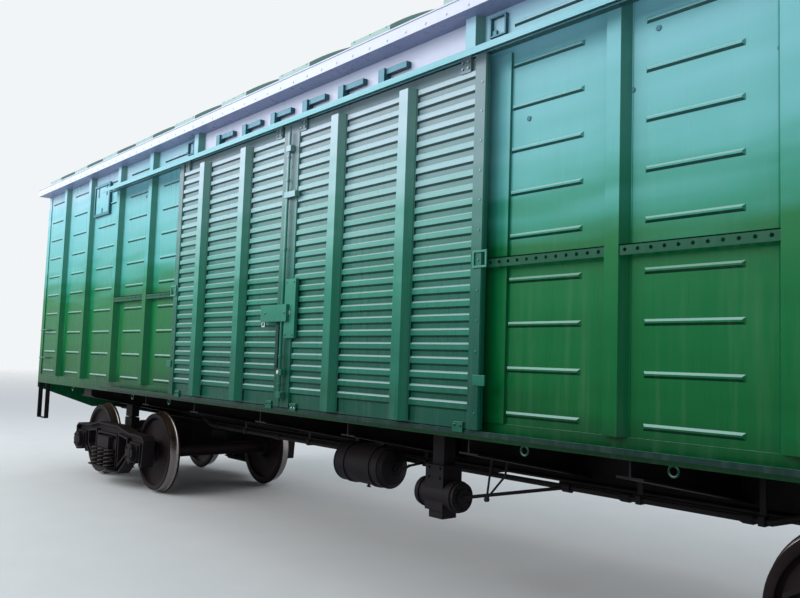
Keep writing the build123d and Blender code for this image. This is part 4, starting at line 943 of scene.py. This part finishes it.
hooks = bmesh.new()
for sign in (-1, 1):
    x, y = sign * KNUCKLE_PIN[0], sign * KNUCKLE_PIN[1]
    head(hooks, (x, y, COUPLER_Z + HEAD_HALF), (0, 0, KNUCKLE_PIN_UP), KNUCKLE_PIN_R, 20)
    head(hooks, (x, y, COUPLER_Z - HEAD_HALF), (0, 0, -KNUCKLE_PIN_DOWN), KNUCKLE_PIN_R, 20)
    x, y = sign * LOCK_CAP[0], sign * LOCK_CAP[1]
    head(hooks, (x, y, COUPLER_Z + HEAD_HALF), (0, 0, LOCK_CAP_HIGH), LOCK_CAP_R, 24)
    for link in range(LINKS):
        centre = (sign * CHAIN[0], sign * CHAIN[1], COUPLER_Z + CHAIN_LOW + link * LINK_PITCH)
        across = (LINK_WIDE, 0, 0) if link % 2 else (0, LINK_WIDE, 0)
        bent_ring(hooks, centre, across, (0, 0, LINK_HIGH), LINK_BAR, 12)
    plate(hooks, sign, 1, SHANK_X, (-SHANK_HALF, SHANK_HALF), [COUPLER_Z + up for up in WEAR_PLATE_Z])
    for y in (-STRIKER_Y, STRIKER_Y):
        for up in STRIKER_ZS:
            foot = (sign * STRIKER_X, y, COUPLER_Z + up)
            head(hooks, foot, (sign * STRIKER_RIVET_HIGH, 0, 0), STRIKER_RIVET_R, 12)
piece("coupler_details", hooks, casting, "wagon_body", HEAD_EDGE)


# Wheels and axles: each wheel is rolled in one piece and pressed on a forged axle, with a dished web,
# a coned tread and a rounded flange. The running face is polished in use, and the rest is brown.

# Forged and rolled wheel steel rusts to an even brown film away from the running face.
wheel_steel = dull_paint("rolled_wheel_steel", "1b1418", "3b2e2a", 0.4, 0.55, 0.3)
# Scuffs of the running face 17 mm apart
SCUFF = 0.017
# Bright steel on the running face gives the only mirror-like band on the whole running gear.
tread_steel = bare_steel("running_face_steel", SCUFF, 2.0, "6f6a68", "9a9694", 0.22, 0.42)

WHEEL_STEPS = 72
# Place out from the middle of the axle and radius, from the axle's middle out to its end, in metres
AXLE_HALF = (
    (0.0, 0.080), (0.40, 0.080), (0.66, 0.082), (0.688, 0.086), (0.690, 0.128), (0.700, 0.135),
    (0.770, 0.137), (0.784, 0.160), (0.786, 0.240), (0.776, 0.330), (0.768, 0.385), (0.752, 0.408),
    (0.722, 0.416), (0.720, 0.430), (0.720, 0.494), (0.724, 0.502), (0.732, 0.5065), (0.741, 0.5055),
    (0.748, 0.499), (0.753, 0.486), (0.762, 0.480), (0.785, 0.4785), (0.840, 0.4745), (0.850, 0.468),
    (0.850, 0.422), (0.846, 0.416), (0.822, 0.410), (0.806, 0.392), (0.802, 0.330), (0.814, 0.240),
    (0.822, 0.165), (0.836, 0.137), (0.858, 0.133), (0.862, 0.126), (0.862, 0.084), (0.915, 0.082),
    (0.918, 0.066), (1.140, 0.065), (1.147, 0.058), (1.147, 0.0),
)
# Stretches of that outline, counted from the axle's middle, that are bright
RUNNING_FACE = range(18, 22)
END_BOLTS = 3
END_BOLT_OUT = 0.038
END_BOLT_R = 0.010
END_BOLT_HIGH = 0.005
END_BOLT_TURN = 0.4


def turned(mesh, profile, steps, centre):
    """Turned body about an axle along Y; the faces come out ring by ring."""
    rings = []
    for y, radius in profile:
        ring = []
        for step in range(steps if radius else 1):
            angle = 2 * math.pi * step / steps
            spot = (centre.x + radius * math.sin(angle), y, centre.z + radius * math.cos(angle))
            ring.append(mesh.verts.new(spot))
        rings.append(ring)
    for row, (near, far) in enumerate(zip(rings, rings[1:])):
        for step in range(steps):
            after = (step + 1) % steps
            loop = (near[step % len(near)], near[after % len(near)],
                    far[after % len(far)], far[step % len(far)])
            face = mesh.faces.new(list(dict.fromkeys(loop)))
            face.material_index = int(row in RUNNING_FACE)


for end in ("front", "rear"):
    for name in ("outer", "inner"):
        low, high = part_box(f"{end}_{name}_wheelset")
        middle = Vector(((low.x + high.x) / 2, 0.0, (low.z + high.z) / 2))
        mesh = bmesh.new()
        turned(mesh, AXLE_HALF, WHEEL_STEPS, middle)
        turned(mesh, [(-y, radius) for y, radius in AXLE_HALF], WHEEL_STEPS, middle)
        bmesh.ops.remove_doubles(mesh, verts=mesh.verts, dist=1e-5)
        for y_sign in (-1, 1):
            for step in range(END_BOLTS):
                angle = 2 * math.pi * step / END_BOLTS + END_BOLT_TURN
                foot = (middle.x + END_BOLT_OUT * math.sin(angle), y_sign * (AXLE_HALF[-1][0] - SUNK),
                        middle.z + END_BOLT_OUT * math.cos(angle))
                head(mesh, foot, (0, y_sign * (END_BOLT_HIGH + SUNK), 0), END_BOLT_R)
        axle = piece(
            f"{end}_{name}_axle_and_wheels", mesh, wheel_steel, f"{end}_{name}_axle")
        axle.data.materials.append(tread_steel)
        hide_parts(f"{end}_{name}_wheelset")


# Springs: nests of two coils, the inner wound the other way, hot wound from round spring steel with their
# ends ground flat. They stand between the frame's seat and the bolster or its wedges.

# Hot-wound spring steel is nearly black, with a faint gloss of the oil that it is quenched in.
spring_steel = dull_paint("oil_tempered_spring_steel", "1a181b", "40372f", 0.4, 0.45, 0.2)
# Radius to the middle of the wire, radius of the wire, turns and the hand of the winding
COILS = ((0.073, 0.0145, 5.5, 1), (0.042, 0.0090, 8.0, -1))
# Places of the nests, along the wagon from the pivot and across it from the middle of the side frame
SPRING_PLACES = ((-0.215, 0.095), (0.0, 0.095), (0.215, 0.095), (-0.110, -0.092), (0.110, -0.092))
FRAME_Y = 1.018
PIVOTS = (("front", 5.0), ("rear", -5.0))
WIRE_SIDES = 8
TURN_STEPS = 16
# Share of a turn that lies flat at each end
FLAT_TURN = 0.75


def coil(mesh, x, y, low, high, radius, wire, turns, hand):
    """Helical spring with a flat turn at each end."""
    steps = round(turns * TURN_STEPS)
    rings = []
    for step in range(steps + 1):
        share = step / steps
        eased = min(max((share * turns - FLAT_TURN) / (turns - 2 * FLAT_TURN), 0.0), 1.0)
        angle = hand * 2 * math.pi * turns * share
        height = low + wire + (high - low - 2 * wire) * eased
        out = Vector((math.cos(angle), math.sin(angle), 0.0))
        centre = Vector((x, y, height)) + radius * out
        ring = []
        for side in range(WIRE_SIDES):
            around = 2 * math.pi * side / WIRE_SIDES
            spot = centre + wire * (math.cos(around) * out + Vector((0, 0, math.sin(around))))
            ring.append(mesh.verts.new(spot))
        rings.append(ring)
    for near, far in zip(rings, rings[1:]):
        for side in range(WIRE_SIDES):
            after = (side + 1) % WIRE_SIDES
            mesh.faces.new((near[side], near[after], far[after], far[side]))
    mesh.faces.new(rings[0])
    mesh.faces.new(rings[-1])


for end, pivot in PIVOTS:
    low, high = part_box(f"{end}_springs")
    mesh = bmesh.new()
    for x, y in SPRING_PLACES:
        for y_sign in (-1, 1):
            for radius, wire, turns, hand in COILS:
                coil(mesh, pivot + x, y_sign * (FRAME_Y + y), low.z, high.z, radius, wire, turns, hand)
    nest = piece(f"{end}_coil_springs", mesh, spring_steel, f"{end}_bogie")
    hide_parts(f"{end}_springs")


# Bolts of the running gear: four on each journal cover round its cap, and the rivets of the side frames'
# wear plates. They are forged heads under the same oily dust as the castings.

WHEELBASE_HALF = 0.925
AXLE_Z = 0.5065
COVER_END = 1.169
JOURNAL_BOLTS = 4
JOURNAL_BOLT_OUT = 0.082
JOURNAL_BOLT_HIGH = 0.012
JOURNAL_BOLT_R = 0.014
JOURNAL_CAP_HIGH = 0.004
JOURNAL_CAP_R = 0.045
WEAR_X = 0.345
WEAR_Y = (1.045, 1.062)
WEAR_ZS = (-0.06, 0.02)
WEAR_RIVET_R = 0.013

for end, pivot in PIVOTS:
    mesh = bmesh.new()
    for x_sign, y_sign in corners():
        x, y = pivot + x_sign * WHEELBASE_HALF, y_sign * (COVER_END - SUNK)
        for step in range(JOURNAL_BOLTS):
            angle = 2 * math.pi * (step + 0.5) / JOURNAL_BOLTS
            foot = (x + JOURNAL_BOLT_OUT * math.cos(angle), y, AXLE_Z + JOURNAL_BOLT_OUT * math.sin(angle))
            head(mesh, foot, (0, y_sign * (JOURNAL_BOLT_HIGH + SUNK), 0), JOURNAL_BOLT_R)
        head(mesh, (x, y, AXLE_Z), (0, y_sign * (JOURNAL_CAP_HIGH + SUNK), 0), JOURNAL_CAP_R, 24)
        for up in WEAR_ZS:
            near, far = ((pivot + x_sign * WEAR_X, y_sign * out, AXLE_Z + up) for out in WEAR_Y)
            rod(mesh, near, far, WEAR_RIVET_R)
    piece(f"{end}_bogie_bolts", mesh, casting, f"{end}_bogie")


# Floor boards: planed pine a hand wide, laid across the frame with a small gap and screwed down. They are
# worn and soiled on top, and bare from below between the beams.

# Planed pine, grey on top from boots and barrows, shows its long grain across the wagon.
pine, tree, place = start_material("planed_pine_boards")
# Fibre 8 mm wide on the face, 350 mm long and 20 mm deep, and patches of soil 600 mm across
FIBRE = (0.008, 0.35, 0.02)
SOIL_PATCH = 0.6
fibre = noise(tree, place, FIBRE, 4.0)
soil = noise(tree, place, SOIL_PATCH, 3.0)
wood = blend(tree, fibre, "8a6f4f", "b39b76")
fibres = add_node(tree, "ShaderNodeBump", {"Strength": 0.4, "Distance": 0.001, "Height": fibre})
surface(tree, {
    "Base Color": blend(tree, soil, wood, "6d6255"), "Roughness": 0.75, "Normal": fibres.outputs[0]})

BOARD_WIDE = 0.15
BOARD_GAP = 0.003
floor_low, floor_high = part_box("floor")
boards = bmesh.new()
count = round((floor_high.x - floor_low.x) / BOARD_WIDE)
wide = (floor_high.x - floor_low.x) / count
for step in range(count):
    x = floor_low.x + step * wide
    slab(boards, (x + BOARD_GAP / 2, floor_low.y, floor_low.z),
         (x + wide - BOARD_GAP / 2, floor_high.y, floor_high.z))
planks = piece("floor_planks", boards, pine, "wagon_body", CUT_EDGE)
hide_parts("floor")


# Lining: birch plywood sheets, 6 mm thick, screwed to battens inside the side and end walls from the
# floor up to the eaves.

# Birch plywood is pale and even, with a broad wavy figure from the peeling knife.
plywood, tree, place = start_material("birch_plywood")
# Waves of the figure 500 mm long and 40 mm high
FIGURE = (0.5, 0.5, 0.04)
figure = noise(tree, place, FIGURE, 3.0, distortion=0.6)
surface(tree, {"Base Color": blend(tree, figure, "b08f62", "d2b88c"), "Roughness": 0.6})

LINING_T = 0.006
LINING_Y = 1.385
LINING_END = 6.880
LINING_TOP = 4.05
JAMB_X = 1.9
PLY_WIDE = 1.22
PLY_GAP = 0.002
SCREW_INSET = 0.03
SCREW_PROUD = 0.001
SCREW_R = 0.006
SCREW_ZS = (1.40, 1.85, 2.30, 2.75, 3.20, 3.65, 4.0)
END_SHEETS = (-1.375, -0.457, 0.461)
END_SHEET_WIDE = 0.914
LINING_GAP = 0.002
lining_low = floor_high.z + LINING_GAP

lining = bmesh.new()
for x_sign, y_sign in corners():
    y_low, y_high = sorted((y_sign * (LINING_Y - LINING_T), y_sign * LINING_Y))
    for sheet in range(math.ceil((LINING_END - JAMB_X) / PLY_WIDE)):
        near = JAMB_X + sheet * PLY_WIDE
        far = min(near + PLY_WIDE, LINING_END)
        x_low, x_high = sorted((x_sign * (near + PLY_GAP / 2), x_sign * (far - PLY_GAP / 2)))
        slab(lining, (x_low, y_low, lining_low), (x_high, y_high, LINING_TOP))
        for z in SCREW_ZS:
            for x in (x_low + SCREW_INSET, (x_low + x_high) / 2, x_high - SCREW_INSET):
                screw = (x, y_sign * (LINING_Y - LINING_T - SCREW_PROUD), z)
                rod(lining, screw, (x, y_sign * LINING_Y, z), SCREW_R, 8)
for x_sign in (-1, 1):
    x_low, x_high = sorted((x_sign * LINING_END, x_sign * (LINING_END - LINING_T)))
    for y in END_SHEETS:
        slab(lining, (x_low, y, lining_low), (x_high, y + END_SHEET_WIDE, LINING_TOP))
piece("plywood_lining", lining, plywood, "wagon_body")


# Floor and light of the studio. The floor is matt pale board, and one broad lamp hangs over the near side
# with a softer one beyond the far side, lighting ribs on top, and the enamel paints highlight and shade on
# them.

FLOOR_HALF = 150.0
FLOOR_DOWN = 0.002
FADE_FROM = 16.0
FADE_TO = 70.0
SPECK = 0.5
WAGON_MIDDLE = Vector((0.0, 0.0, 2.0))
# Name, place, width, height and power of each lamp
LAMPS = (
    ("near_softbox", (-7.0, -13.0, 8.5), 18.0, 8.0, 1900.0),
    ("far_softbox", (2.0, 13.0, 10.0), 16.0, 6.0, 600.0),
)

# Matt board takes the wagon's shadow and shows no gloss of its own.
board, tree, place = start_material("pale_matt_board")
speck = noise(tree, place, SPECK, 2.0)
matt = add_node(tree, "ShaderNodeBsdfPrincipled", {
    "Base Color": blend(tree, speck, "d3d6d6", "dadddd"), "Roughness": 0.9,
    "Specular IOR Level": 0.2})
# Far from the wagon the board thins out into the backdrop, so no edge shows behind it
away = add_node(tree, "ShaderNodeVectorMath", {0: place}, operation="LENGTH").outputs["Value"]
thin = span(tree, away, FADE_FROM, FADE_TO)
clear = add_node(tree, "ShaderNodeBsdfTransparent")
blended = add_node(tree, "ShaderNodeMixShader", {0: thin, 1: matt.outputs[0], 2: clear.outputs[0]})
add_node(tree, "ShaderNodeOutputMaterial", {"Surface": blended.outputs[0]})

ground = bmesh.new()
bmesh.ops.create_grid(ground, x_segments=1, y_segments=1, size=FLOOR_HALF)
ground_data = bpy.data.meshes.new("studio_floor")
ground.to_mesh(ground_data)
ground.free()
ground_data.materials.append(board)
studio_floor = add_object("studio_floor", ground_data)
studio_floor.location.z = -FLOOR_DOWN

for name, at, wide, high, power in LAMPS:
    lamp = bpy.data.lights.new(name, "AREA")
    lamp.shape = "RECTANGLE"
    lamp.size = wide
    lamp.size_y = high
    lamp.energy = power
    holder = add_object(name, lamp)
    holder.location = at
    holder.rotation_euler = (WAGON_MIDDLE - Vector(at)).to_track_quat("-Z", "Y").to_euler()

# The camera, gloss and glass see a plain pale backdrop, and the wagon is lit by a sky brighter above
world = bpy.data.worlds.new("studio")
bpy.context.scene.world = world
world.use_nodes = True
tree = world.node_tree
tree.nodes.clear()
ray = add_node(tree, "ShaderNodeLightPath").outputs
seen = math_node(tree, "MAXIMUM", ray["Is Camera Ray"], ray["Is Glossy Ray"])
seen = math_node(tree, "MAXIMUM", seen, ray["Is Transmission Ray"])
backdrop = add_node(tree, "ShaderNodeBackground", {"Color": linear("f2f5f7"), "Strength": 1.0})
direction = add_node(tree, "ShaderNodeTexCoord").outputs["Generated"]
sky = add_node(tree, "ShaderNodeSeparateXYZ", {0: direction}).outputs
glow = span(tree, sky["Z"], start=-0.1, end=0.6, low=0.3, high=0.8)
fill = add_node(tree, "ShaderNodeBackground", {"Color": linear("f0f6ff"), "Strength": glow})
shown = add_node(tree, "ShaderNodeMixShader", {0: seen, 1: fill.outputs[0], 2: backdrop.outputs[0]})
add_node(tree, "ShaderNodeOutputWorld", {"Surface": shown.outputs[0]})


# Camera: at head height beside the front right corner, looking back along the wagon and a little up.
# It leans by two degrees, as the picture does, and its angle of view is that of a 36 mm lens.

EYE = Vector((5.619, -5.128, 1.731))
YAW = math.radians(49.58)
PITCH = math.radians(4.48)
ROLL = math.radians(1.91)
FOCAL = 36.0
SENSOR = 36.0
FAR_CLIP = 400.0

ahead = Vector((-math.sin(YAW) * math.cos(PITCH), math.cos(YAW) * math.cos(PITCH), math.sin(PITCH)))
level = Vector((math.cos(YAW), math.sin(YAW), 0.0))
upright = level.cross(ahead)
right = math.cos(ROLL) * level + math.sin(ROLL) * upright
top = -math.sin(ROLL) * level + math.cos(ROLL) * upright
lens = bpy.data.cameras.new("side_camera")
lens.lens = FOCAL
lens.sensor_width = SENSOR
lens.clip_end = FAR_CLIP
camera = add_object("side_camera", lens)
camera.matrix_world = Matrix.Translation(EYE) @ Matrix((right, top, -ahead)).transposed().to_4x4()
bpy.context.scene.camera = camera

bpy.context.scene.view_settings.view_transform = "Standard"
